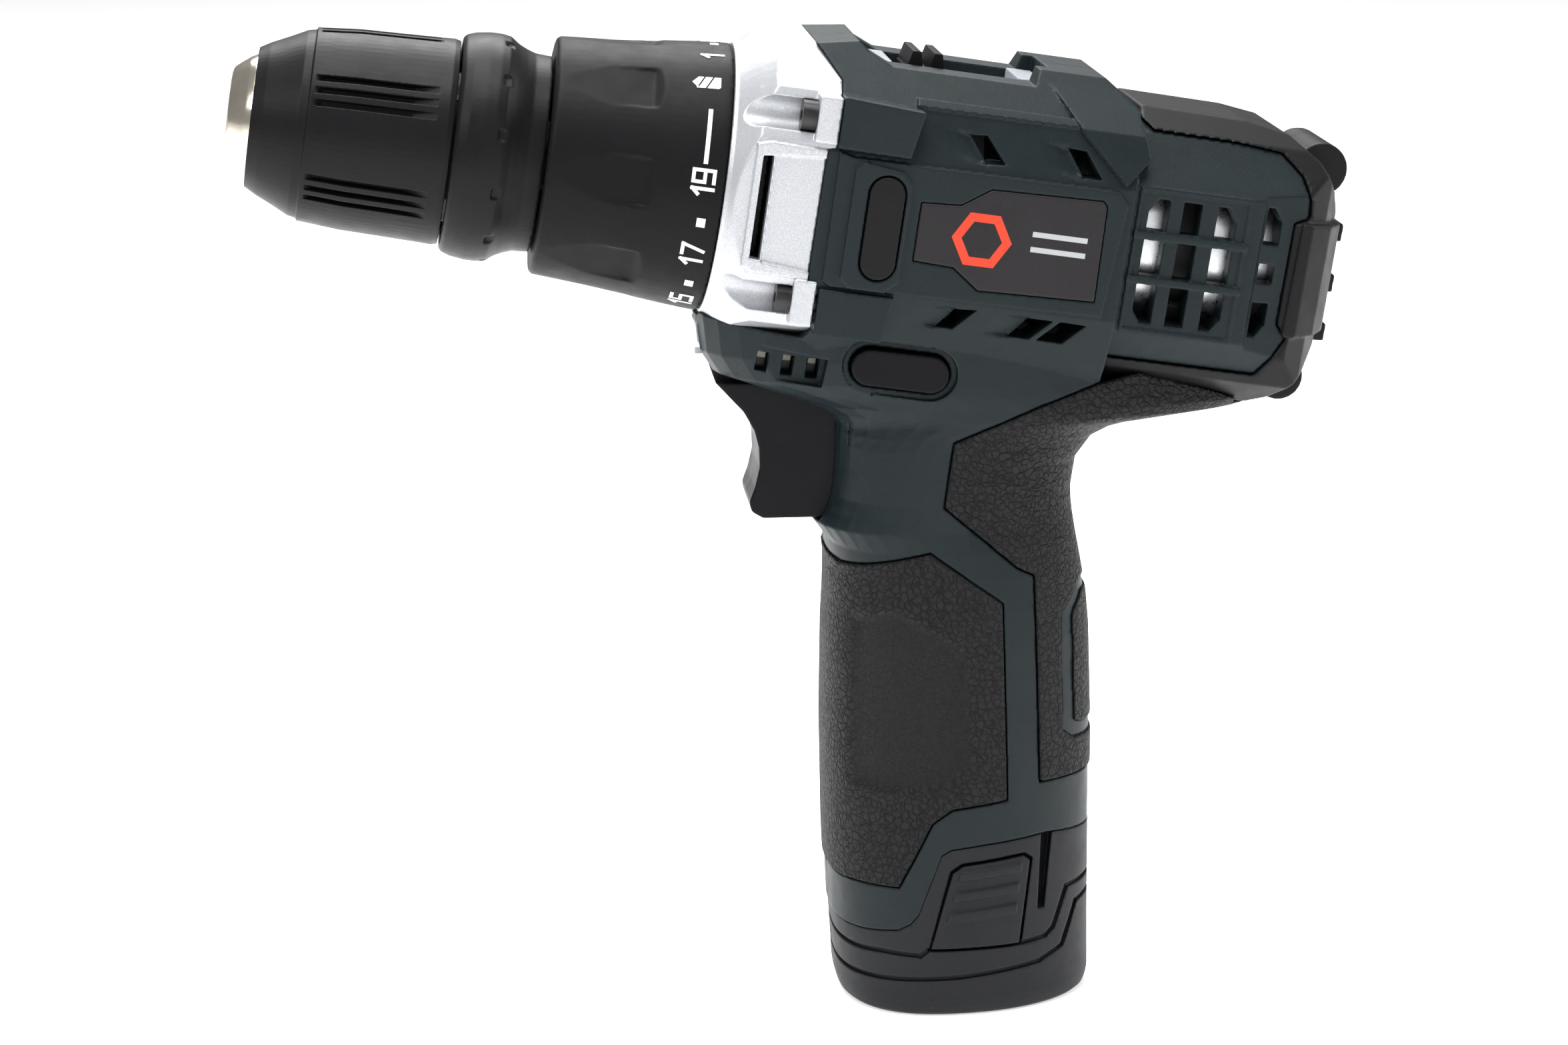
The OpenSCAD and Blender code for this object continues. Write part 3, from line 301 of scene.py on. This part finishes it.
def lamp_board(name):
    """Dark circuit board whose raised lamps are pale at their upper ends."""
    n = Nodes(name)
    lamp = n.ramp(n.maths("ABSOLUTE", n.along(ACROSS), 0.0), *LAMP_Y)
    pale = n.ramp(n.along(UP), *LAMP_PALE_H)
    base = n.mix(n.ramp(n.noise(2, 3), 0.3, 0.7), rgb(12, 26, 20), rgb(20, 36, 28))
    base = n.mix(lamp, base, n.mix(pale, rgb(18, 18, 18), rgb(196, 192, 180)))
    return n.finish(base, n.ramp(n.noise(1, 3), 0.3, 0.7, 0.35, 0.5),
                    n.bump(n.noise(0.5, 3), 0.01))


def plain_metal(name, color, rough):
    """Bare metal with slow smears."""
    n = Nodes(name)
    base = n.mix(n.ramp(n.noise(4, 4), 0.3, 0.7), shade(color, 0.85), shade(color, 1.08))
    base = n.mix(n.edges(0.53, 0.62), base, shade(color, 1.25))
    return n.finish(base, n.ramp(n.noise(1.5, 4, 0.65), 0.25, 0.75, rough - 0.06, rough + 0.1),
                    n.bump(n.noise(0.4, 3), 0.003), metallic=1.0)


def printed_ink(name, color):
    """Matt print, a little worn."""
    n = Nodes(name)
    worn = n.ramp(n.noise(0.5, 4, 0.7), 0.66, 0.8)
    base = n.mix(n.maths("MULTIPLY", worn, 0.35), color, shade(color, 0.6))
    return n.finish(base, n.ramp(n.noise(1, 2), 0.3, 0.7, 0.45, 0.58),
                    n.bump(n.noise(0.2, 2), 0.004), specular=0.35)


def lens_plastic(name):
    """Clear plastic of the work light."""
    n = Nodes(name)
    base = n.mix(n.ramp(n.noise(2, 2), 0.3, 0.7), (0.82, 0.86, 0.9, 1), (0.93, 0.95, 0.97, 1))
    n.finish(base, n.ramp(n.noise(1.2, 2), 0.3, 0.7, 0.05, 0.12))
    n.shader.inputs["Transmission Weight"].default_value = 0.7
    n.shader.inputs["IOR"].default_value = 1.49
    return n.mat


GREEN = rgb(16, 27, 30)
BLACK = rgb(15, 15, 17)
green_plastic = moulded_plastic("green_plastic", GREEN, 0.45, 0.4, 0.03, specular=0.24)
battery_plastic = moulded_plastic("battery_plastic", rgb(29, 30, 33), 0.5, 0.4, 0.014)
control_plastic = moulded_plastic("control_plastic", rgb(12, 11, 15), 0.42, 0.3, 0.007,
                                  specular=0.13)
chuck_plastic = moulded_plastic("chuck_plastic", BLACK, 0.42, 0.3, 0.008, specular=0.16)
collar_plastic = moulded_plastic("collar_plastic", BLACK, 0.5, 0.34, 0.012, specular=0.13)
badge_plastic = moulded_plastic("badge_plastic", rgb(36, 34, 36), 0.42, 0.3, 0.012, 1.2)
plate_plastic = moulded_plastic("plate_plastic", rgb(150, 154, 160), 0.42, 0.3, 0.008, 1.15)
inner_plastic = moulded_plastic("inner_plastic", rgb(24, 24, 25), 0.5)
board_plastic = moulded_plastic("board_plastic", rgb(26, 74, 42), 0.42, 0.5, 0.006)
gauge_lamps = lamp_board("gauge_lamps")
cell_wrap = moulded_plastic("cell_wrap", rgb(60, 120, 150), 0.3, 1.2, 0.004)
grip_rubber = leather_rubber("grip_rubber", rgb(24, 24, 26), 0.58, 1.25, 0.34)
black_rubber = smooth_rubber("black_rubber", rgb(17, 17, 19))
silver_paint = painted_silver("silver_paint")
nickel = chuck_metal("nickel")
steel = plain_metal("steel", rgb(186, 187, 190), 0.3)
can_zinc = plain_metal("can_zinc", rgb(206, 208, 210), 0.28)
black_steel = plain_metal("black_steel", rgb(58, 57, 58), 0.36)
bronze = plain_metal("bronze", rgb(200, 150, 92), 0.34)
ferrite = plain_metal("ferrite", rgb(70, 70, 72), 0.6)
white_ink = printed_ink("white_ink", rgb(232, 233, 234))
red_ink = printed_ink("red_ink", rgb(224, 62, 34))
silver_ink = printed_ink("silver_ink", rgb(178, 180, 182))
clear_lens = lens_plastic("clear_lens")

# Nodes that aren't listed are plain steel
MATERIALS = {
    green_plastic: ["housing_left", "housing_right"],
    silver_paint: ["gear_case"],
    black_steel: ["gear_case_screws", "chuck_screw", "output_spindle"],
    grip_rubber: ["front_grips", "palm_grips"],
    black_rubber: ["rear_bumper", "side_pads"],
    badge_plastic: ["side_badges"],
    plate_plastic: ["gear_label_plate"],
    clear_lens: ["led_lens"],
    gauge_lamps: ["gauge_board"],
    board_plastic: ["battery_board"],
    inner_plastic: ["switch_body", "battery_terminals", "motor_end_cap", "motor_brushes",
                    "cooling_fan"],
    can_zinc: ["motor_can"],
    ferrite: ["motor_magnets"],
    bronze: ["spindle_bearings", "commutator", "motor_pinion"],
    nickel: ["chuck_body"],
    chuck_plastic: ["chuck_sleeve", "chuck_rear_ring"],
    collar_plastic: ["torque_collar"],
    control_plastic: ["speed_knob", "trigger", "direction_button"],
    battery_plastic: ["battery_case", "latch_left", "latch_right"],
    cell_wrap: ["battery_cells"],
}
finish_of = {n: m for m, names in MATERIALS.items() for n in names}


def dress(obj, material):
    obj.data.materials.clear()
    obj.data.materials.append(material)


for name, cad in nodes.items():
    dress(cad, finish_of.get(name, steel))

# ---------------------------------------------------------------- moulded skins


def add_object(name, mesh, material, body, smooth=True):
    """Puts a piece in the scene, riding on a body."""
    obj = bpy.data.objects.new(name, mesh)
    bpy.context.scene.collection.objects.link(obj)
    dress(obj, material)
    mesh.shade_smooth() if smooth else mesh.shade_flat()
    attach(obj, body)
    return obj


BODY_OF = {n: body for body, names in frame["record"]["behaviour"]["bodies"].items()
           for n in names}


def moulded(node, voxel_mm, passes, keep, crisp):
    """A skin over a CAD node whose edges are rounded as a moulding's are. passes smooths it,
    keep is the share of its faces that stay, and crisp, unless it is 0, is the octree depth
    of a skin that keeps its corners."""
    work = bpy.data.objects.new("work", nodes[node].data.copy())
    bpy.context.scene.collection.objects.link(work)
    remesh = work.modifiers.new("remesh", "REMESH")
    if crisp:
        remesh.mode, remesh.octree_depth, remesh.scale = "SHARP", crisp, 0.96
        remesh.use_remove_disconnected = False
    else:
        remesh.mode, remesh.voxel_size = "VOXEL", voxel_mm * MM
    soften = work.modifiers.new("soften", "SMOOTH")
    soften.factor, soften.iterations = 0.5, passes
    if keep < 1:
        lean = work.modifiers.new("lean", "DECIMATE")
        lean.ratio = keep
    made = work.evaluated_get(bpy.context.evaluated_depsgraph_get())
    mesh = bpy.data.meshes.new_from_object(made)
    mesh.name = node + "_skin"
    bpy.data.objects.remove(work)
    obj = add_object(node + "_skin", mesh, finish_of.get(node, steel), BODY_OF[node])
    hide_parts(node)
    return obj


def vertex_vectors(obj, name):
    """Array of the vertices' "co" or "normal"."""
    values = np.zeros(len(obj.data.vertices) * 3)
    obj.data.vertices.foreach_get(name, values)
    return values.reshape(-1, 3)


def set_positions(obj, points):
    obj.data.vertices.foreach_set("co", points.reshape(-1))
    obj.data.update()


def paint(obj, name, values):
    """Stores one value a vertex as a mesh attribute that a material can read."""
    layer = obj.data.attributes.new(name, "FLOAT", "POINT")
    layer.data.foreach_set("value", values.astype(np.float32))


def outline_distance(points, outline):
    """Signed distance of 2-D points to a closed outline, positive inside."""
    best = np.full(len(points), 1e9)
    inside = np.zeros(len(points), bool)
    for a, b in zip(outline, outline[1:] + outline[:1]):
        a, b = np.array(a, float), np.array(b, float)
        d = b - a
        t = np.clip(((points - a) @ d) / (d @ d), 0, 1)
        best = np.minimum(best, np.linalg.norm(points - a - t[:, None] * d, axis=1))
        cross = (a[1] > points[:, 1]) != (b[1] > points[:, 1])
        with np.errstate(divide="ignore", invalid="ignore"):
            x = a[0] + (points[:, 1] - a[1]) * d[0] / d[1]
        inside ^= cross & (points[:, 0] < x)
    return np.where(inside, best, -best)


# Plan sections of the handle and the battery that the skins are rounded to: z, front x,
# rear x and half width, all in millimetres
HANDLE_ROWS = [(12, -24.1, 23.2, 21.9), (30, -24.9, 23, 22), (50, -25.3, 22.8, 21.9),
               (68, -25.1, 22.1, 21.4), (74, -24.8, 21.5, 21.1), (80, -24.7, 20.4, 20.8),
               (85, -25.3, 19.4, 20.5), (93.7, -25.6, 18.4, 20.1), (99, -25.1, 19.2, 20),
               (103.2, -25.1, 22.4, 20)]
BATTERY_ROWS = [(0, -21.8, 22, 20.4), (1.9, -23, 23.2, 21.6), (3.2, -23.2, 23.4, 21.8),
                (14, -23.9, 23.2, 21.9), (34, -24.7, 23, 22)]
# Flat facets around each CAD wall, and the height in millimetres up to which they are bent
HANDLE_SIDES, HANDLE_TOP = 40, 103
BATTERY_SIDES, BATTERY_TOP = 36, 40


# Powers that square the section's ends and sides, and how much it narrows to the rear
END_POWER, SIDE_POWER, NARROWING = 0.9, 0.75, 0.15


def egg(t, front, rear, half):
    """Points of the egg-shaped plan section at angles t, in radians."""
    c, s = np.cos(t), np.sin(t)
    x = (rear + front) / 2 + (rear - front) / 2 * np.sign(c) * np.abs(c) ** END_POWER
    y = half * np.sign(s) * np.abs(s) ** SIDE_POWER * (1 - NARROWING * c)
    return np.stack([x, y], 1)


FADE_HEIGHT = 5  # millimetres below the top over which the bending fades out


def round_out(obj, rows, sides, top):
    """Bends the flat facets of an egg-shaped wall, below the height top, to a round."""
    place = vertex_vectors(obj, "co")
    mm = place / MM
    front, rear, half = (np.interp(mm[:, 2], [q[0] for q in rows], [q[k] for q in rows])
                         for k in (1, 2, 3))
    u = np.clip((mm[:, 0] - (rear + front) / 2) / ((rear - front) / 2), -1, 1)
    c = np.sign(u) * np.abs(u) ** (1 / END_POWER)
    v = np.abs(mm[:, 1]) / (half * (1 - NARROWING * c))
    angle = np.arctan2(np.sign(mm[:, 1]) * v ** (1 / SIDE_POWER), c)
    step = 2 * math.pi / sides
    facet = np.floor(angle / step - 0.5)
    share = angle / step - 0.5 - facet
    a0, a1 = (facet + 0.5) * step, (facet + 1.5) * step
    sag = egg((a0 + a1) / 2, front, rear, half) - (
        egg(a0, front, rear, half) + egg(a1, front, rear, half)) / 2
    fade = np.clip((top - mm[:, 2]) / FADE_HEIGHT, 0, 1) * 4 * share * (1 - share)
    place[:, :2] += sag * fade[:, None] * MM
    set_positions(obj, place)


# Node, voxel in millimetres, smoothing passes, share of faces kept and crisp depth
SKINS = [("housing_left", 0.42, 1, 0.5, 9), ("housing_right", 0.42, 1, 0.5, 9),
         ("front_grips", 0.32, 3, 0.8, 0), ("palm_grips", 0.32, 3, 0.8, 0),
         ("rear_bumper", 0.32, 4, 0.8, 0), ("side_pads", 0.2, 3, 1.0, 0),
         ("side_badges", 0.2, 1, 1.0, 0), ("gear_case", 0.34, 1, 0.6, 8),
         ("gear_label_plate", 0.2, 2, 1.0, 0), ("chuck_body", 0.3, 1, 1.0, 0),
         ("chuck_sleeve", 0.24, 1, 0.7, 8), ("chuck_rear_ring", 0.24, 2, 0.8, 0),
         ("torque_collar", 0.3, 3, 0.8, 0), ("speed_knob", 0.16, 3, 1.0, 0),
         ("trigger", 0.28, 5, 1.0, 0), ("direction_button", 0.24, 4, 1.0, 0),
         ("battery_case", 0.36, 1, 0.6, 8), ("latch_left", 0.2, 3, 1.0, 0),
         ("latch_right", 0.2, 3, 1.0, 0)]

skins = {}
for node, voxel, passes, keep, crisp in SKINS:
    skins[node] = moulded(node, voxel, passes, keep, crisp)

for node in ("housing_left", "housing_right", "front_grips", "palm_grips"):
    round_out(skins[node], HANDLE_ROWS, HANDLE_SIDES, HANDLE_TOP)
for node in ("battery_case", "latch_left", "latch_right"):
    round_out(skins[node], BATTERY_ROWS, BATTERY_SIDES, BATTERY_TOP)

# Scoops that lead into the vents: outlines along s and h, deepest at the vent
SCOOPS = [[(118.7, 17.2), (124.4, 16.1), (127.6, 11.7), (121.9, 12.6)],
          [(135.6, 17.1), (141.4, 16), (144.4, 11.5), (138.4, 12.4)],
          [(121.6, -13.4), (126.1, -13.5), (123.3, -17.2), (118.8, -17.1)],
          [(133.6, -13.4), (138.8, -13.5), (136, -17.3), (130.6, -17.2)]]
SCOOP_DEPTH = 1.1
WALL_Y = 21  # the housing's outer surface lies beyond this y wherever a scoop is
for node in ("housing_left", "housing_right"):
    shell = skins[node]
    place, facing = vertex_vectors(shell, "co"), vertex_vectors(shell, "normal")
    where = to_barrel(place)
    outer = (np.abs(where[:, 1]) > WALL_Y) & (facing[:, 1] * where[:, 1] > 0)
    for outline in SCOOPS:
        inside = np.clip(outline_distance(where[:, [0, 2]], outline) / 0.5 + 0.4, 0, 1)
        (s0, h0), (s1, h1), (s2, h2), (s3, h3) = outline
        start = s0 + (where[:, 2] - h0) * (s3 - s0) / (h3 - h0)
        end = s1 + (where[:, 2] - h1) * ((s2 - s1) / (h2 - h1))
        ramp = np.clip((where[:, 0] - start) / np.maximum(end - start, 1), 0, 1)
        sink = inside * ramp * outer * SCOOP_DEPTH * MM
        place[:, 1] -= np.sign(where[:, 1]) * sink
    set_positions(shell, place)

# Smooth thumb recess on both sides of the front grip: x and z, in millimetres
THUMB_RECESS = [(-21.9, 72.8), (-14, 74.6), (-4.2, 68.7), (-1.9, 65.5), (-1.3, 47.2),
                (-5.9, 43.2), (-21.5, 43)]
RECESS_DEPTH = 0.8
RECESS_SLOPE = 2.4  # width of the slope at the recess's edge
grip = skins["front_grips"]
place, facing = vertex_vectors(grip, "co"), vertex_vectors(grip, "normal")
edge = outline_distance(place[:, [0, 2]] / MM, THUMB_RECESS)
recess = np.clip(edge / RECESS_SLOPE + 0.5, 0, 1)
recess = recess * recess * (3 - 2 * recess)
outer = np.clip(np.abs(facing[:, 1]) * 1.5, 0, 1) * (facing[:, 1] * place[:, 1] > 0)
set_positions(grip, place - facing * (recess * outer * RECESS_DEPTH * MM)[:, None])
paint(grip, "smooth_area", recess * outer)

# ---------------------------------------------------------------- collar print

COLLAR_LINE = [(72, 22.3), (78, 22.95), (83, 23.35), (84.2, 23.35)]
STROKE = 0.62
INK_LIFT, INK_THICKNESS = 0.06, 0.03
DIGIT_W, DIGIT_H, DIGIT_GAP = 2.0, 3.5, 0.75
# Strokes of squared digits in a 1 by 1 cell, x across and y up
DIGITS = {
    "1": [[(0.35, 0.72), (0.8, 1), (0.8, 0)]],
    "3": [[(0, 0), (1, 0), (1, 1), (0, 1)], [(0.25, 0.52), (1, 0.52)]],
    "5": [[(0, 0), (1, 0), (1, 0.55), (0, 0.55), (0, 1), (1, 1)]],
    "7": [[(0, 1), (1, 1), (0.45, 0)]],
    "9": [[(0, 0), (1, 0), (1, 1), (0, 1), (0, 0.45), (1, 0.45)]],
}


def collar_r(s):
    """Radius of the collar at s."""
    return float(np.interp(s, [p[0] for p in COLLAR_LINE], [p[1] for p in COLLAR_LINE]))


def wrap_sheet(bm, polygon):
    """Adds a flat polygon of (s, angle) corners to bm, wrapped on the collar."""
    bm.faces.new([bm.verts.new(around(s, collar_r(s) + INK_LIFT, a)) for s, a in polygon])


def stroke(bm, a, b, width, s_of, angle_of):
    """One straight printed stroke from a to b in a flat x, y cell, longer by half its width
    at each end."""
    a, b = Vector(a), Vector(b)
    along = (b - a).normalized()
    side = Vector((-along.y, along.x)) * width / 2
    a, b = a - along * width / 2, b + along * width / 2
    steps = max(1, int((b - a).length / 0.5))
    for i in range(steps):
        p, q = a.lerp(b, i / steps), a.lerp(b, (i + 1) / steps)
        wrap_sheet(bm, [(s_of(v), angle_of(v)) for v in (p - side, q - side, q + side, p + side)])


def collar_mark(bm, s_base, angle, lines, width=STROKE):
    """Strokes given in millimetres round a point of the collar: x runs up round it, y to
    the nose."""
    r = collar_r(s_base)
    for line in lines:
        for a, b in zip(line, line[1:]):
            stroke(bm, a, b, width, lambda v: s_base - v.y,
                   lambda v: angle + math.degrees(v.x / r))


def number(text):
    """Stroke lines of a number, centred on x."""
    total = len(text) * DIGIT_W + (len(text) - 1) * DIGIT_GAP
    lines = []
    for i, c in enumerate(text):
        x0 = -total / 2 + i * (DIGIT_W + DIGIT_GAP)
        for line in DIGITS[c]:
            lines.append([(x0 + x * DIGIT_W, y * DIGIT_H) for x, y in line])
    return lines


# Foot of the numbers along s, and the angles of one setting, the last number, the line after
# it and the drill-bit mark
MARK_S = 82.3
SETTING, LAST_NUMBER, LINE, BIT_MARK = 16.4, 4.7, 25.5, 51
NUMBERS = 10
ink = bmesh.new()
for k in range(NUMBERS):
    number_angle = LAST_NUMBER - 2 * SETTING * (NUMBERS - 1 - k)
    collar_mark(ink, MARK_S, number_angle, number(str(2 * k + 1)))
    # A square dot stands for the even number between two odd ones
    if k < NUMBERS - 1:
        for dx in (-0.5, 0.0, 0.5):
            collar_mark(ink, MARK_S - 1.2, number_angle + SETTING,
                        [[(dx, -0.45), (dx, 0.45)]], 0.6)
collar_mark(ink, MARK_S - 1.75, LINE, [[(-4.6, 0), (4.4, 0)]], 0.75)
# Drill-bit mark: a pointed bar crossed by two slanting gaps
r_mark = collar_r(MARK_S)
for outline in ([(5.2, 0), (4.1, 1.3), (3.2, 1.3), (4.4, -1.3), (4.1, -1.3)],
                [(2.9, 1.3), (1.7, 1.3), (2.9, -1.3), (4.1, -1.3)],
                [(1.4, 1.3), (0.3, 1.3), (0.3, -1.0), (0.6, -1.3), (2.6, -1.3)]):
    wrap_sheet(ink, [(MARK_S - y, BIT_MARK + math.degrees(x / r_mark)) for y, x in outline])
bmesh.ops.recalc_face_normals(ink, faces=ink.faces)
print_mesh = bpy.data.meshes.new("collar_print")
ink.to_mesh(print_mesh)
ink.free()
collar_print = add_object("collar_print", print_mesh, white_ink, "torque_collar", False)
thick = collar_print.modifiers.new("thick", "SOLIDIFY")
thick.thickness, thick.offset = INK_THICKNESS * MM, 0.0

# ---------------------------------------------------------------- badge emblem

# All in millimetres: how far each print stands out, and its depth
BADGE_LIFT, BADGE_DEPTH = 0.03, 0.12
BUTTON_LIFT, BUTTON_DEPTH = -0.005, 0.05


def flat_piece(name, outlines, material, body, side, y_out, depth):
    """Thin raised print on the side of the barrel from (s, h) outlines."""
    bm = bmesh.new()
    for outline in outlines:
        rows = []
        for y in (y_out, y_out - depth):
            rows.append([bm.verts.new(barrel(s, side * y, h)) for s, h in outline])
        bm.faces.new(rows[0])
        bm.faces.new(rows[1])
        for i in range(len(outline)):
            j = (i + 1) % len(outline)
            bm.faces.new([rows[0][i], rows[0][j], rows[1][j], rows[1][i]])
    bmesh.ops.recalc_face_normals(bm, faces=bm.faces)
    mesh = bpy.data.meshes.new(name)
    bm.to_mesh(mesh)
    bm.free()
    return add_object(name, mesh, material, body, False)


def hexagon(cx, cy, r):
    return [(cx + r * math.cos(math.radians(60 * i)),
             cy + r * math.sin(math.radians(60 * i))) for i in range(6)]


def hexagon_ring(cx, cy, outer_r, inner_r):
    a, b = hexagon(cx, cy, outer_r), hexagon(cx, cy, inner_r)
    return [[a[i], a[(i + 1) % 6], b[(i + 1) % 6], b[i]] for i in range(6)]


def half_width(node):
    """How far a node reaches to the side, in millimetres."""
    return max(abs(v.co.y) for v in nodes[node].data.vertices) / MM


EMBLEM_RING = hexagon_ring(128.5, -1, 5.2, 3.5)
EMBLEM_BARS = [[(137, h), (146.5, h), (146.5, h - 0.9), (137, h - 0.9)] for h in (1.6, -1.0)]
badge_y = half_width("side_badges") + BADGE_LIFT
for side, label in SIDES:
    for part, outlines, print_ink in (("ring", EMBLEM_RING, red_ink),
                                      ("bars", EMBLEM_BARS, silver_ink)):
        flat_piece(f"emblem_{part}_{label}", outlines, print_ink, "drill_body", side,
                   badge_y, BADGE_DEPTH)

# Slanted mark on the direction button
BUTTON_MARK = [(119.4, -26.1), (120.6, -25.6), (124.2, -25.9), (124, -26.3), (120.6, -26.1)]
button_y = half_width("direction_button") + BUTTON_LIFT
for side, label in SIDES:
    flat_piece(f"button_mark_{label}", [BUTTON_MARK], plate_plastic, "direction_button", side,
               button_y, BUTTON_DEPTH)

# ---------------------------------------------------------------- camera, light and floor

TARGET = Vector((-0.0323, 0, 0.08645))
DISTANCE, AZIMUTH, ELEVATION = 0.689, math.radians(-5.4), math.radians(14)
SENSOR_MM, LENS_MM = 36, 88.58
back = Vector((math.sin(AZIMUTH) * math.cos(ELEVATION),
               -math.cos(AZIMUTH) * math.cos(ELEVATION), math.sin(ELEVATION)))
camera = bpy.data.objects.new("camera", bpy.data.cameras.new("camera"))
bpy.context.scene.collection.objects.link(camera)
camera.data.sensor_width, camera.data.lens = SENSOR_MM, LENS_MM
camera.location = TARGET + back * DISTANCE
camera.rotation_mode = "QUATERNION"
camera.rotation_quaternion = (-back).to_track_quat("-Z", "Y")
bpy.context.scene.camera = camera

FLOOR_HALF = 6
FLOOR_GAP = 0.0001  # keeps the floor clear of the battery's base
floor_mesh = bpy.data.meshes.new("floor")
floor_mesh.from_pydata([(x * FLOOR_HALF, y * FLOOR_HALF, 0)
                        for x, y in ((-1, -1), (1, -1), (1, 1), (-1, 1))], [], [(0, 1, 2, 3)])
floor = bpy.data.objects.new("floor", floor_mesh)
bpy.context.scene.collection.objects.link(floor)
floor.location.z = cad_low.z - FLOOR_GAP
paper = Nodes("paper")
dress(floor, paper.finish(
    paper.mix(paper.noise(60, 2), (0.88, 0.88, 0.88, 1), (0.91, 0.91, 0.91, 1)), 0.8,
    specular=0.1))
paper.shader.inputs["Emission Color"].default_value = (1, 1, 1, 1)
paper.shader.inputs["Emission Strength"].default_value = 0.5


LIGHT_AIM = Vector((0, 0, 0.09))


def area_light(name, location, size, power):
    """A square soft light that faces the drill."""
    light = bpy.data.lights.new(name, "AREA")
    light.shape, light.size, light.energy = "SQUARE", size, power
    lamp = bpy.data.objects.new(name, light)
    bpy.context.scene.collection.objects.link(lamp)
    lamp.location = location
    lamp.rotation_mode = "QUATERNION"
    lamp.rotation_quaternion = (LIGHT_AIM - lamp.location).to_track_quat("-Z", "Y")


area_light("top", (-0.1, -0.15, 1.1), 0.7, 12)
area_light("top_left", (-0.8, -0.7, 0.9), 0.5, 5)
area_light("front", (0.25, -1.3, 0.5), 0.9, 1.8)
area_light("right", (0.9, 0.1, 0.6), 0.5, 4)
area_light("behind", (-0.1, 0.75, 1.0), 0.8, 15)
world = bpy.data.worlds.new("studio")
bpy.context.scene.world = world
world.use_nodes = True
background = world.node_tree.nodes["Background"]
background.inputs["Color"].default_value = (1, 1, 1, 1)
background.inputs["Strength"].default_value = 0.3
bpy.context.scene.view_settings.view_transform = "Standard"
